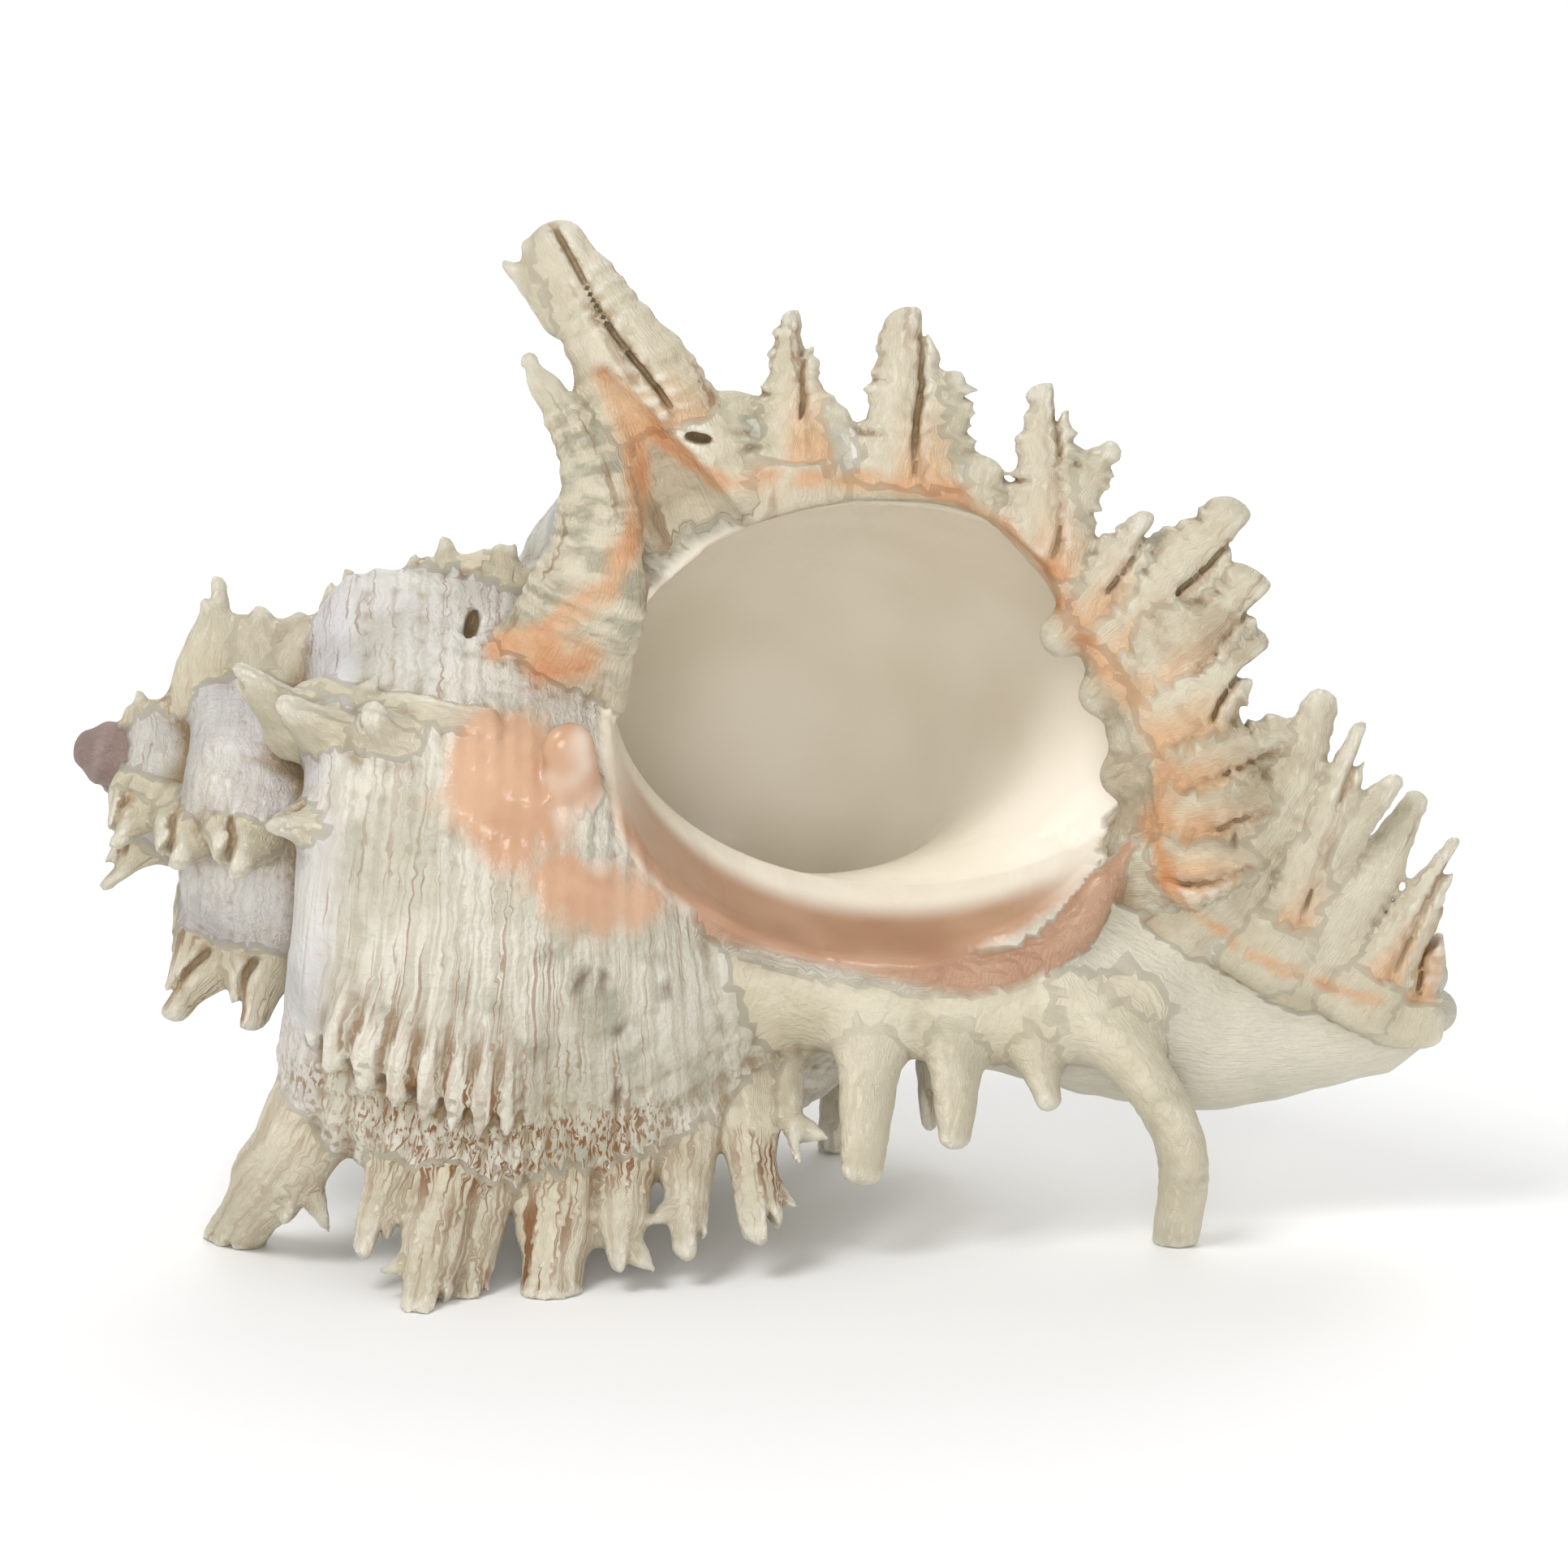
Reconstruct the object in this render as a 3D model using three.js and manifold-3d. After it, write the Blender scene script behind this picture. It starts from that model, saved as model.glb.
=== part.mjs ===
// A large branched murex shell, built the way it grew: one coiled solid.
// Millimetres, +Z up. The shell lies on its side with the lip up and the
// aperture facing -Y, and rests on worn spine tips cut flat at Z = 0.

import * as THREE from "three";
import { ParametricGeometry } from "three/addons/geometries/ParametricGeometry.js";
import * as BufferGeometryUtils from "three/addons/utils/BufferGeometryUtils.js";
import Module from "manifold-3d";

const wasm = await Module();
wasm.setup();

// Driving dimensions

// The coil: every whorl is the one after it, scaled down towards the apex.
const WHORL_GROWTH = 2.0; // size ratio over one full turn
const AXIS_TILT = 14; // degrees, axis falls towards the canal
const APEX_HEIGHT = 66; // of the coil's pole above the ground
const LIP_TURN = 8; // degrees past straight up, where growth stopped

// The outside of the whorl at the lip: distance from the axis, distance from the apex.
const WHORL_OUTLINE = [
  [2, 50], [28, 56], [46, 55], [55, 60], [60, 73], [61.5, 90],
  [60.5, 107], [56, 123], [47.5, 138], [35, 150], [18, 158], [2, 162],
];

// The hollow at the lip: an ellipse leaning with the axis.
const HOLLOW = { out: 32, along: 101, halfLong: 32, halfHigh: 24.7, sides: 16 };
const HOLLOW_FLARE = { long: 0.17, high: 0.065 }; // how much wider the hollow is at the very edge
const FLARE_TO_CANAL = 0.6; // share of the flare that shifts it towards the canal
const FLARE_TURNS = 35; // degrees back from the lip that the flare takes up
const MOUTH_REACH = 40; // the hollow opens straight to the front this far
const MOUTH_RAMP = 1.44; // its lower half is this much deeper there
const HOLLOW_DEEPEST = -245; // degrees back from the lip

const SPIRE_FIRST_TURN = -1260; // degrees, where the spire begins

// Varices, the thickened old lips: where they sit and how far they stand out.
const VARICES = [
  { turn: LIP_TURN, rise: 0.09 },
  { turn: -105, rise: 0.1 },
  { turn: -215, rise: 0.17 },
  { turn: -305, rise: 0.03 },
  { turn: -362, rise: 0.14 },
  { turn: -450, rise: 0.1 },
  { turn: -545, rise: 0.12 },
  { turn: -640, rise: 0.16 },
  { turn: -722, rise: 0.16 },
  { turn: -810, rise: 0.12 },
  { turn: -900, rise: 0.16 },
  { turn: -1080, rise: 0.14 },
];
const VARIX_HALF_WIDTH = 12; // degrees

const NARROW_SPINE = 4.5; // half width under which a spine is a plain stalk
const LATE_TAPER = 1.35; // above 1, a spine keeps its width longer
const SPINE_ROOT = 5; // how deep a spine's root sits in the whorl

// Frame of the coil

const radians = THREE.MathUtils.degToRad;
const tilt = radians(AXIS_TILT);
const apex = new THREE.Vector3(-92.6, 0, APEX_HEIGHT);
const towardsCanal = new THREE.Vector3(Math.cos(tilt), 0, -Math.sin(tilt));
const towardsLip = new THREE.Vector3(Math.sin(tilt), 0, Math.cos(tilt));
const towardsFront = new THREE.Vector3(0, -1, 0);

// A point of the shell's own frame: along the axis, up to the lip side, out to the front.
function at(along, up, front) {
  return apex.clone()
    .addScaledVector(towardsCanal, along)
    .addScaledVector(towardsLip, up)
    .addScaledVector(towardsFront, front);
}

// The same point given as turn about the axis and distance from it.
function around(turn, out, along) {
  return at(along, out * Math.cos(radians(turn)), out * Math.sin(radians(turn)));
}

function sizeAt(turn) {
  return WHORL_GROWTH ** (turn / 360);
}

function varixRise(turn) {
  let rise = 0;
  for (const varix of VARICES) {
    const away = (turn - varix.turn) / VARIX_HALF_WIDTH;
    rise = Math.max(rise, varix.rise * Math.exp(-away * away));
  }
  return rise;
}

// Solids

function toSolid(geometry) {
  const bare = geometry.clone();
  bare.deleteAttribute("normal");
  bare.deleteAttribute("uv");
  const merged = BufferGeometryUtils.mergeVertices(bare, 1e-4);
  const index = merged.index.array;
  const kept = [];
  for (let i = 0; i < index.length; i += 3) {
    const [a, b, c] = [index[i], index[i + 1], index[i + 2]];
    if (a !== b && b !== c && c !== a) kept.push(a, b, c);
  }
  const vertProperties = new Float32Array(merged.attributes.position.array);
  const triVerts = new Uint32Array(kept);
  const solid = new wasm.Manifold(new wasm.Mesh({ numProp: 3, vertProperties, triVerts }));
  if (solid.volume() > 0) return solid;
  triVerts.reverse();
  return new wasm.Manifold(new wasm.Mesh({ numProp: 3, vertProperties, triVerts }));
}

// A closed solid through a row of rings, with a pole at each end.
function sweep(ringPoint, rings, sides) {
  const centres = [0, rings - 1].map((ring) => {
    const centre = new THREE.Vector3();
    for (let side = 0; side < sides; side += 1) centre.add(ringPoint(ring, side));
    return centre.divideScalar(sides);
  });
  const surface = (u, v, target) => {
    const side = Math.round(u * sides) % sides;
    const row = Math.round(v * (rings + 1));
    if (row === 0) target.copy(centres[0]);
    else if (row === rings + 1) target.copy(centres[1]);
    else target.copy(ringPoint(row - 1, side));
  };
  return toSolid(new ParametricGeometry(surface, sides, rings + 1));
}

// One stretch of the coil, from one turn to another.
function whorl(fromTurn, toTurn, rings) {
  const ringPoint = (ring, side) => {
    const turn = fromTurn + (toTurn - fromTurn) * ring / (rings - 1);
    const [out, along] = WHORL_OUTLINE[side];
    const size = sizeAt(turn);
    return around(turn, out * size * (1 + varixRise(turn)), along * size);
  };
  return sweep(ringPoint, rings, WHORL_OUTLINE.length);
}

// The coil as it grew, a stretch from each varix to the next.
const WHORL_STEPS = { small: 30, large: 13.5 }; // degrees between rings, finer where it is large

function coil() {
  const ends = [...VARICES.map((varix) => varix.turn), SPIRE_FIRST_TURN];
  return ends.slice(1).map((from, stretch) => {
    const to = ends[stretch];
    const step = THREE.MathUtils.mapLinear(sizeAt(to), 0, 1, WHORL_STEPS.small, WHORL_STEPS.large);
    return whorl(from, to, Math.ceil((to - from) / step) + 1);
  });
}

// The hollow that the animal lived in, flared at the lip and open to the front.
function hollow() {
  const rings = 16;
  const ringPoint = (ring, side) => {
    const isMouth = ring === rings - 1;
    const turn = Math.min(HOLLOW_DEEPEST + (LIP_TURN - HOLLOW_DEEPEST) * ring / (rings - 2), LIP_TURN);
    const size = sizeAt(turn);
    const edge = Math.max(0, 1 - (LIP_TURN - turn) / FLARE_TURNS);
    const flareLong = HOLLOW_FLARE.long * edge * edge;
    const flareHigh = HOLLOW_FLARE.high * edge * edge;
    const angle = 2 * Math.PI * side / HOLLOW.sides;
    const ramp = isMouth && Math.sin(angle) < 0 ? MOUTH_RAMP : 1;
    const long = HOLLOW.halfLong * (flareLong * FLARE_TO_CANAL + (1 + flareLong) * Math.cos(angle));
    const high = HOLLOW.halfHigh * (flareHigh + (1 + flareHigh) * Math.sin(angle) * ramp);
    const out = HOLLOW.out + high * Math.cos(tilt) + long * Math.sin(tilt);
    const along = HOLLOW.along + long * Math.cos(tilt) - high * Math.sin(tilt);
    const point = around(turn, out * size, along * size);
    return isMouth ? point.addScaledVector(towardsFront, MOUTH_REACH) : point;
  };
  return sweep(ringPoint, rings, HOLLOW.sides);
}

// A spine, a rounded stalk folded along its open side.
// path: points of the shell's frame; wide, thick: half sizes at base and tip;
// open: the direction that the fold faces. It tapers late, towards the tip.
function spine(path, wide, thick, open, fold = 0.75) {
  const sides = wide[0] < NARROW_SPINE ? 6 : 8;
  const line = new THREE.CatmullRomCurve3(path);
  const rings = path.length > 2 ? Math.max(4, path.length) : 2;
  const ringPoint = (ring, side) => {
    const t = ring / (rings - 1);
    const middle = line.getPoint(t);
    const forward = line.getTangent(t);
    const across = new THREE.Vector3().crossVectors(forward, open).normalize();
    const facing = new THREE.Vector3().crossVectors(across, forward).normalize();
    const angle = 2 * Math.PI * side / sides;
    const taper = t ** LATE_TAPER;
    const halfWide = THREE.MathUtils.lerp(wide[0], wide[1], taper);
    const halfThick = THREE.MathUtils.lerp(thick[0], thick[1], taper);
    const reach = side === sides / 4 ? 1 - fold : 1; // only the broad ones have a fold
    return middle
      .addScaledVector(across, halfWide * Math.cos(angle))
      .addScaledVector(facing, halfThick * Math.sin(angle) * reach);
  };
  return sweep(ringPoint, rings, sides);
}

// How thick a spine is, as a share of its width, at the base and at the tip.
const LIP_BASE = 0.62;
const VARIX_BASE = 0.75;
const SPIRE_BASE = 0.7;
const TIP = 0.8;
const SHALLOW_FOLD = 0.4;

function thickness(wide, base) {
  return [wide[0] * base, wide[1] * TIP];
}

// The spines of the lip: base, then tip, as [along, up, front], and half width at both.
// Those above the mouth end at its edge.
const SPINES_ABOVE_MOUTH = [
  { path: [[60, 27, 10], [62, 43, 13], [58, 56, 12], [47, 67, 8]], wide: [7.5, 1.2] }, // horn
  { path: [[71, 54, 6], [61, 68, 8], [47, 82, 4]], wide: [9.5, 3.8] }, // tallest
  { path: [[78, 55, 6], [75, 67, 7]], wide: [5.6, 3] },
  { path: [[50, 74, 6], [41.5, 78.5, 6]], wide: [2.4, 0.8] },
  { path: [[86, 55, 7], [83, 68, 8], [79.5, 80, 6]], wide: [6.4, 1.4] },
  { path: [[90, 58, 7], [88, 72, 9]], wide: [3.5, 1] },
  { path: [[100, 56, 7], [98, 69, 9], [94.5, 83, 7]], wide: [7, 2.4] },
  { path: [[104, 64, 8], [103, 79, 9]], wide: [3.4, 1.2] },
  { path: [[108, 55, 7], [109.5, 69, 10]], wide: [4.4, 1] },
  { path: [[118, 48, 7], [118, 63, 10], [114.5, 78.5, 7]], wide: [6.6, 1.6] },
  { path: [[119, 64, 9], [124, 74, 10]], wide: [3.4, 1] },
];

const SPINES_BESIDE_MOUTH = [
  { path: [[124, 44, 6], [130.5, 66, 11]], wide: [6.4, 2] },
  { path: [[127, 40, 5], [134, 54, 8], [142, 68, 7]], wide: [7.4, 3.4] },
  { path: [[131, 36, 6], [140, 50, 11], [146.5, 60, 9]], wide: [6.6, 3.2] },
  { path: [[134, 32, 6], [143, 44, 12], [149, 52, 10]], wide: [6.4, 3.2] },
  { path: [[136, 28, 6], [146, 37, 13], [156, 42, 11]], wide: [6.2, 2.2] },
  { path: [[138, 24, 7], [157, 34, 12]], wide: [5.8, 2.2] },
  { path: [[140, 20, 8], [156, 26, 13]], wide: [5.4, 2.6] },
  { path: [[148, 15, 7], [153, 24, 11], [158, 36, 11], [159.5, 48.5, 10]], wide: [6.4, 2] }, // canal
  { path: [[160, 12, 9], [163.5, 25, 12], [165.4, 46.5, 13]], wide: [4.6, 1.3] },
  { path: [[164, 27, 12], [171.5, 41, 13]], wide: [3.2, 1.1] },
  { path: [[165, 10, 6], [169, 22, 10], [173, 30, 10], [175.5, 38.5, 9]], wide: [5.2, 1.4] },
  { path: [[174, 9, 8], [177.5, 19, 10], [182, 34, 11]], wide: [4.2, 1.2] },
  { path: [[180, 8, 5], [182, 22, 7]], wide: [5.6, 3.6] },
];

// The thick rim between the hollow's edge and the spines of the lip.
const RIM = [
  [76, 56, 6], [88, 64.5, 7], [103, 66, 7], [118, 60, 7], [132, 45, 7], [141, 24, 8],
];

// The trough beside the first spine, which widens into the mouth.
const TROUGH = { path: [[57, 68, 12], [66, 60, 13], [78, 46, 12]], wide: [1, 7.5] };

function lipSpines(spines) {
  return spines.map(({ path, wide }) => {
    return spine(path.map((point) => at(...point)), wide, thickness(wide, LIP_BASE), towardsFront);
  });
}

function rim() {
  return spine(RIM.map((point) => at(...point)), [3.4, 3], [3.6, 3.2], towardsFront, 0);
}

function trough() {
  const { path, wide } = TROUGH;
  return spine(path.map((point) => at(...point)), wide, wide, towardsFront, 0);
}

// Spines that stand on an older varix: where along, how far out the tip reaches,
// how far the tip moves along and around, and the half width at base and tip.
const FRONT_VARIX = {
  turn: -215,
  spines: [
    { along: 45, out: 60, slide: -9, swing: 27, wide: [6.4, 4] }, // stout corner spine
    { along: 47, out: 54, slide: -4, swing: 12, wide: [3.6, 2] },
    { along: 55, out: 59, slide: -1, swing: 0, wide: [4.6, 1.8] },
    { along: 62, out: 68, slide: 1, swing: -3, wide: [5.4, 3.2] },
    { along: 67, out: 63, slide: 2, swing: 0, wide: [3.6, 2] },
    { along: 76, out: 62, slide: 3, swing: 0, wide: [5.8, 4] },
    { along: 84, out: 54, slide: 3, swing: -4, wide: [4.6, 2] },
    { along: 91, out: 50, slide: 4, swing: -4, wide: [4.6, 2] },
    { along: 97, out: 45, slide: 7, swing: -4, wide: [4.4, 2.6] },
    { along: 101, out: 35, slide: 6, swing: -8, wide: [2.6, 1] },
  ],
};

const BACK_VARIX = {
  turn: -105,
  spines: [
    { along: 52, out: 74, slide: -10, swing: -30, wide: [7, 2.6] },
    { along: 61, out: 61, slide: -3, swing: -10, wide: [4.2, 1.6] },
    { along: 71, out: 66, slide: 0, swing: -14, wide: [6.4, 2.2] },
    { along: 81, out: 60, slide: 2, swing: -10, wide: [4.4, 1.6] },
    { along: 91, out: 64, slide: 3, swing: -18, wide: [6, 2.2] },
    { along: 101, out: 52, slide: 4, swing: -14, wide: [4.4, 1.6] },
    { along: 110, out: 57, slide: 6, swing: -36, wide: [6, 2.4] },
    { along: 120, out: 42, slide: 7, swing: -30, wide: [4.6, 1.8] },
  ],
};

// The whorl's surface at a turn, read off the outline from its widest part on.
const WIDEST_FROM = 4;
const NARROWEST = 9;

function surfaceOut(turn, along) {
  const size = sizeAt(turn);
  const wanted = Math.max(along / size, WHORL_OUTLINE[WIDEST_FROM][1]);
  let out = 0;
  for (let i = WIDEST_FROM + 1; i < WHORL_OUTLINE.length; i += 1) {
    const [outA, alongA] = WHORL_OUTLINE[i - 1];
    const [outB, alongB] = WHORL_OUTLINE[i];
    if (wanted >= alongA && wanted <= alongB) {
      out = THREE.MathUtils.mapLinear(wanted, alongA, alongB, outA, outB);
    }
  }
  return Math.max(out * size, NARROWEST);
}

// Half way up, a spine has made this share of its way round and along.
const BEND = { swing: 0.3, slide: 0.45 };

function varixSpines({ turn, spines }) {
  const facing = radians(turn);
  const open = towardsLip.clone().multiplyScalar(-Math.sin(facing))
    .addScaledVector(towardsFront, Math.cos(facing));
  return spines.map(({ along, out, slide, swing, wide }) => {
    const base = surfaceOut(turn, along) - SPINE_ROOT;
    const middle = (base + out) / 2;
    const path = [
      around(turn, base, along),
      around(turn + swing * BEND.swing, middle, along + slide * BEND.slide),
      around(turn + swing, out, along + slide),
    ];
    return spine(path, wide, thickness(wide, VARIX_BASE), open);
  });
}

// Spines and scales of the spire, as [along, up, front].
const SPIRE_SPINES = [
  { path: [[17, 11, 2], [13.2, 26, -1]], wide: [4.6, 1.6] }, // tall one on top
  { path: [[21, 14, 2], [20, 23.5, 0]], wide: [3.6, 2] },
  { path: [[26, 15, 2], [26.5, 23.5, 0]], wide: [4, 2] },
  { path: [[31, 16, -10], [29.5, 29, -15]], wide: [4.2, 1.4] }, // behind the shoulder
  { path: [[36, 20, -10], [35, 28.5, -14]], wide: [3.4, 1.2] },
  { path: [[44, 26, -2], [41.7, 38, -4]], wide: [5, 1.8] }, // crest beside the notch
  { path: [[52, 28, 0], [49.5, 38.5, -3]], wide: [5, 2.4] },
  { path: [[8, 3.5, 1], [6.5, 9.5, 1]], wide: [2.6, 1] },
  { path: [[12, 5, 1], [13.5, 11.5, 1]], wide: [3, 1.4] },
  { path: [[28, -14, 4], [21.5, -30, 5]], wide: [5.4, 2.8] }, // lower spines
  { path: [[31, -16, 6], [31.5, -27.5, 8]], wide: [5.6, 3.4] },
  { path: [[21, -15, 2], [19, -23, 2]], wide: [2.4, 0.8] },
  { path: [[13, -7, 2], [8.5, -16, 3]], wide: [3.6, 1.6] },
  { path: [[12, -2, 8], [9, -7, 15]], wide: [4, 2] }, // frilled scales in front
  { path: [[18, -2, 11], [17, -6, 20]], wide: [4.6, 2.6] },
  { path: [[25, 0, 14], [25, -4, 25]], wide: [5, 3] },
  { path: [[31, 14, 19], [20, 21, 25]], wide: [5, 1.4] }, // row across the shoulder
  { path: [[36, 14, 23], [27, 19, 30]], wide: [4.6, 2] },
  { path: [[43, 15, 25], [38, 21, 33]], wide: [5, 2.4] },
  { path: [[37, 4, 25], [29, 4, 33.5]], wide: [5, 1.4] },
];

// Webs that join spines of the spire into crests: path, half height, half thickness.
const WEBS = [
  { path: [[15, 15, 0], [21, 18, 0], [33, 16, 0]], high: [5, 3], thin: [1.9, 1.5] },
  { path: [[31, 22, -9], [37, 26, -6], [44, 31, -3], [58, 33, -1]], high: [5, 4.5], thin: [2.4, 2] },
  { path: [[30, 17, 18], [37, 19, 24], [53, 22, 27]], high: [3.2, 2.4], thin: [2.2, 1.6] },
];

function webs() {
  return WEBS.map(({ path, high, thin }) => (
    spine(path.map((point) => at(...point)), high, thin, towardsFront, 0)
  ));
}

function spireSpines() {
  return SPIRE_SPINES.map(({ path, wide }) => {
    const points = path.map((point) => at(...point));
    const open = new THREE.Vector3().crossVectors(points[1].clone().sub(points[0]), towardsCanal);
    return spine(points, wide, thickness(wide, SPIRE_BASE), open, SHALLOW_FOLD);
  });
}

// The siphonal canal: middle of each section, then its half height and half depth.
const CANAL = [
  { middle: [112, 12, 2], half: [20, 15] },
  { middle: [128, 7, 3], half: [19, 13] },
  { middle: [143, 3, 2], half: [16, 11] },
  { middle: [158, 0.5, 1], half: [12.5, 9] },
  { middle: [172, 3, 0], half: [9.5, 7] },
  { middle: [183, 6.5, -1], half: [6.8, 5.2] },
  { middle: [188, 9, -1], half: [3.4, 3] },
];

function canal() {
  const sides = 12;
  const ringPoint = (ring, side) => {
    const { middle: [along, up, front], half: [high, deep] } = CANAL[ring];
    const angle = 2 * Math.PI * side / sides;
    return at(along, up + high * Math.cos(angle), front + deep * Math.sin(angle));
  };
  return sweep(ringPoint, CANAL.length, sides);
}

// The end of the last canal, a curved stalk that the shell also rests on,
// and the ridge of old growth that it comes out of.
function oldCanal() {
  const stalk = [[136, 2, 12], [148, -4.5, 15], [157, -15, 14], [160, -31, 9]];
  const ridge = [[78, -3, 6], [106, -3, 8], [128, 0, 8], [144, 2, 8]];
  return [
    spine(stalk.map((point) => at(...point)), [4.4, 3], [4, 2.8], towardsLip, 0),
    spine(ridge.map((point) => at(...point)), [13, 7], [12.5, 6.5], towardsLip, 0),
    spine([at(112, -6, 14), at(115.5, -26, 20)], [4.4, 2.6], [3.4, 2], towardsFront, 0),
    spine([at(123, -4, 14), at(126.5, -19, 18)], [3.8, 2], [3.2, 1.8], towardsFront, 0),
    spine([at(132, -2, 13), at(137.5, -11.5, 16)], [3.4, 1.8], [3, 1.6], towardsFront, 0),
  ];
}

// The raised, overhanging fold between two varices on the front of the last whorl.
function frontFold() {
  const turn = -238;
  const path = [around(turn, 35.5, 43), around(turn, 37, 55), around(turn, 36, 68)];
  return spine(path, [5, 4.5], [4.6, 4], towardsFront, 0);
}

// The first shell of the young animal, a blunt knob at the end of the spire.
function firstShell() {
  return spine([at(9, 0, 0), at(0.6, 0.6, 0)], [5, 3.2], [5, 3.2], towardsFront, 0);
}

// The pillar that the whorls wind round.
function pillar() {
  return spine([at(6, 0, 0), at(86, 0, 0)], [2.4, 2.8], [2.4, 2.8], towardsFront, 0);
}

// The wall that carries the lip's spines down along the canal.
function canalWall() {
  const path = [[138, 24, 6], [150, 17, 7], [163, 13.5, 6], [176, 13.5, 4], [184, 14, 2]];
  return spine(path.map((point) => at(...point)), [5, 2.6], [5, 3.2], towardsFront, 0);
}

function ground() {
  const size = 400;
  const box = new THREE.BoxGeometry(size, size, size);
  box.translate(0, 0, -size / 2);
  return toSolid(box);
}

function join(solids) {
  return solids.reduce((whole, solid) => whole.add(solid));
}

function buildShell() {
  const body = [...coil(), pillar(), firstShell(), canal(), ...oldCanal(), canalWall(), frontFold()];
  const open = join([...body, ...lipSpines(SPINES_ABOVE_MOUTH)]).subtract(hollow());
  const grown = [
    ...lipSpines(SPINES_BESIDE_MOUTH), rim(), ...varixSpines(FRONT_VARIX), ...varixSpines(BACK_VARIX),
    ...spireSpines(), ...webs(),
  ];
  const shell = join([open, ...grown]);
  return shell.subtract(trough()).subtract(ground());
}

function toGeometry(solid) {
  const mesh = solid.getMesh();
  const geometry = new THREE.BufferGeometry();
  geometry.setAttribute("position", new THREE.BufferAttribute(mesh.vertProperties, 3));
  geometry.setIndex(new THREE.BufferAttribute(mesh.triVerts, 1));
  return geometry;
}

const geometry = toGeometry(buildShell());
geometry.computeBoundingBox();
const middle = geometry.boundingBox.getCenter(new THREE.Vector3());
geometry.translate(-middle.x, -middle.y, 0);
geometry.computeVertexNormals();

const shell = new THREE.Mesh(
  geometry,
  new THREE.MeshStandardMaterial({ color: 0xe6e0d2, roughness: 0.55, metalness: 0 }),
);
shell.name = "shell";

const group = new THREE.Group();
group.add(shell);

export default group;
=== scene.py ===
# %% [markdown]
# # A branched murex shell
# A murex is one coiled tube of shell. The animal adds to the edge of the tube,
# stops now and then, and grows a thick frilled lip at each stop. We start from
# the CAD solid of the same shell.

import math

import bpy
import numpy as np
import openvdb
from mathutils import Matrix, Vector


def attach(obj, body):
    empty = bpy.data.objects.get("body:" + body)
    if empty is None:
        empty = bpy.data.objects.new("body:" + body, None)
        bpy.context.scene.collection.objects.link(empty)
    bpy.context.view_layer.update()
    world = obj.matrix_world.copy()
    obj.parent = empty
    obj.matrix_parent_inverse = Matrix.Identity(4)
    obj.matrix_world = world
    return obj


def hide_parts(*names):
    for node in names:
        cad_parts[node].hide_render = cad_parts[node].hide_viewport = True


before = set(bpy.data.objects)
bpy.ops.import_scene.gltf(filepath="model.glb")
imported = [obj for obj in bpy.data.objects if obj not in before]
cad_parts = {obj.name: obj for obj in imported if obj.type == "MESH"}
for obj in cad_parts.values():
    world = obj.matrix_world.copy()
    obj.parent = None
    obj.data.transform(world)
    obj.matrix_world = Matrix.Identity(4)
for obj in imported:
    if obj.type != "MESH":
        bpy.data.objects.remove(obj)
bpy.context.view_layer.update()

# %% [markdown]
# ## The shell's own frame
# Every part of a coil is easiest to place along the axis that it winds round.
# So a point is given as millimetres along the axis from the apex, up towards
# the lip, and out to the front. The axis leans 14 degrees down to the canal.
# Turns are in degrees: 0 is the lip, on top, and growth comes from minus.

# %% Frame of the coil
GROWTH = 2.0
TILT = math.radians(14)
LIP_TURN = 8.0
APEX = np.array([-92.792, -7.6, 66.0])
CANALWARD = np.array([math.cos(TILT), 0, -math.sin(TILT)])
LIPWARD = np.array([math.sin(TILT), 0, math.cos(TILT)])
FRONTWARD = np.array([0.0, -1.0, 0.0])
MM = 0.001


def around(turn, out, along):
    """A point from its turn about the axis and its distance from it."""
    return (along, out * math.cos(math.radians(turn)), out * math.sin(math.radians(turn)))


def size_at(turn):
    """Every whorl is the one after it, scaled down."""
    return GROWTH ** (turn / 360)


def smooth(low, high, value):
    """A soft step from 0 at low to 1 at high."""
    t = np.clip((value - low) / (high - low), 0, 1)
    return t * t * (3 - 2 * t)


print("one whorl back the shell is", size_at(-360), "times as large")

# %% [markdown]
# ## A block of clay
# Spines melt into the wall that they grow from, and a boolean of meshes can't
# give that soft join. We model in a grid instead: each cell keeps its distance
# to the surface, less than zero inside. Two forms are joined by keeping the
# smaller distance, and a little rounding makes the join soft. The grid also
# keeps which form a cell belongs to and how far along its growth it lies, so
# the paint can follow the growth later.

# %% The grid
VOXEL = 0.6
LOW = np.array([-3.0, -70.0, -62.0])
HIGH = np.array([192.0, 88.0, 48.0])
COUNT = np.ceil((HIGH - LOW) / VOXEL).astype(int)
FAR = 6.0

distance = np.full(COUNT, FAR, np.float32)
growth = np.zeros(COUNT, np.float32)
stripe = np.zeros(COUNT, np.float32)
owner = np.zeros(COUNT, np.uint8)


def window(low, high):
    """The slices of the grid between two corners."""
    first = np.clip(np.floor((np.asarray(low) - LOW) / VOXEL).astype(int), 0, COUNT)
    last = np.clip(np.ceil((np.asarray(high) - LOW) / VOXEL).astype(int) + 1, 0, COUNT)
    return tuple(slice(a, b) for a, b in zip(first, last))


def places(part):
    """Along, up and front of the cells in a window, ready to combine."""
    axes = [LOW[i] + VOXEL * np.arange(part[i].start, part[i].stop) for i in range(3)]
    along, up, front = (axis.astype(np.float32) for axis in axes)
    return along[:, None, None], up[None, :, None], front[None, None, :]


def soft_join(a, b, soft):
    """The smaller distance, with the crease between the forms filled."""
    blend = np.clip(0.5 + 0.5 * (a - b) / soft, 0, 1)
    return a + (b - a) * blend - soft * blend * (1 - blend)


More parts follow.
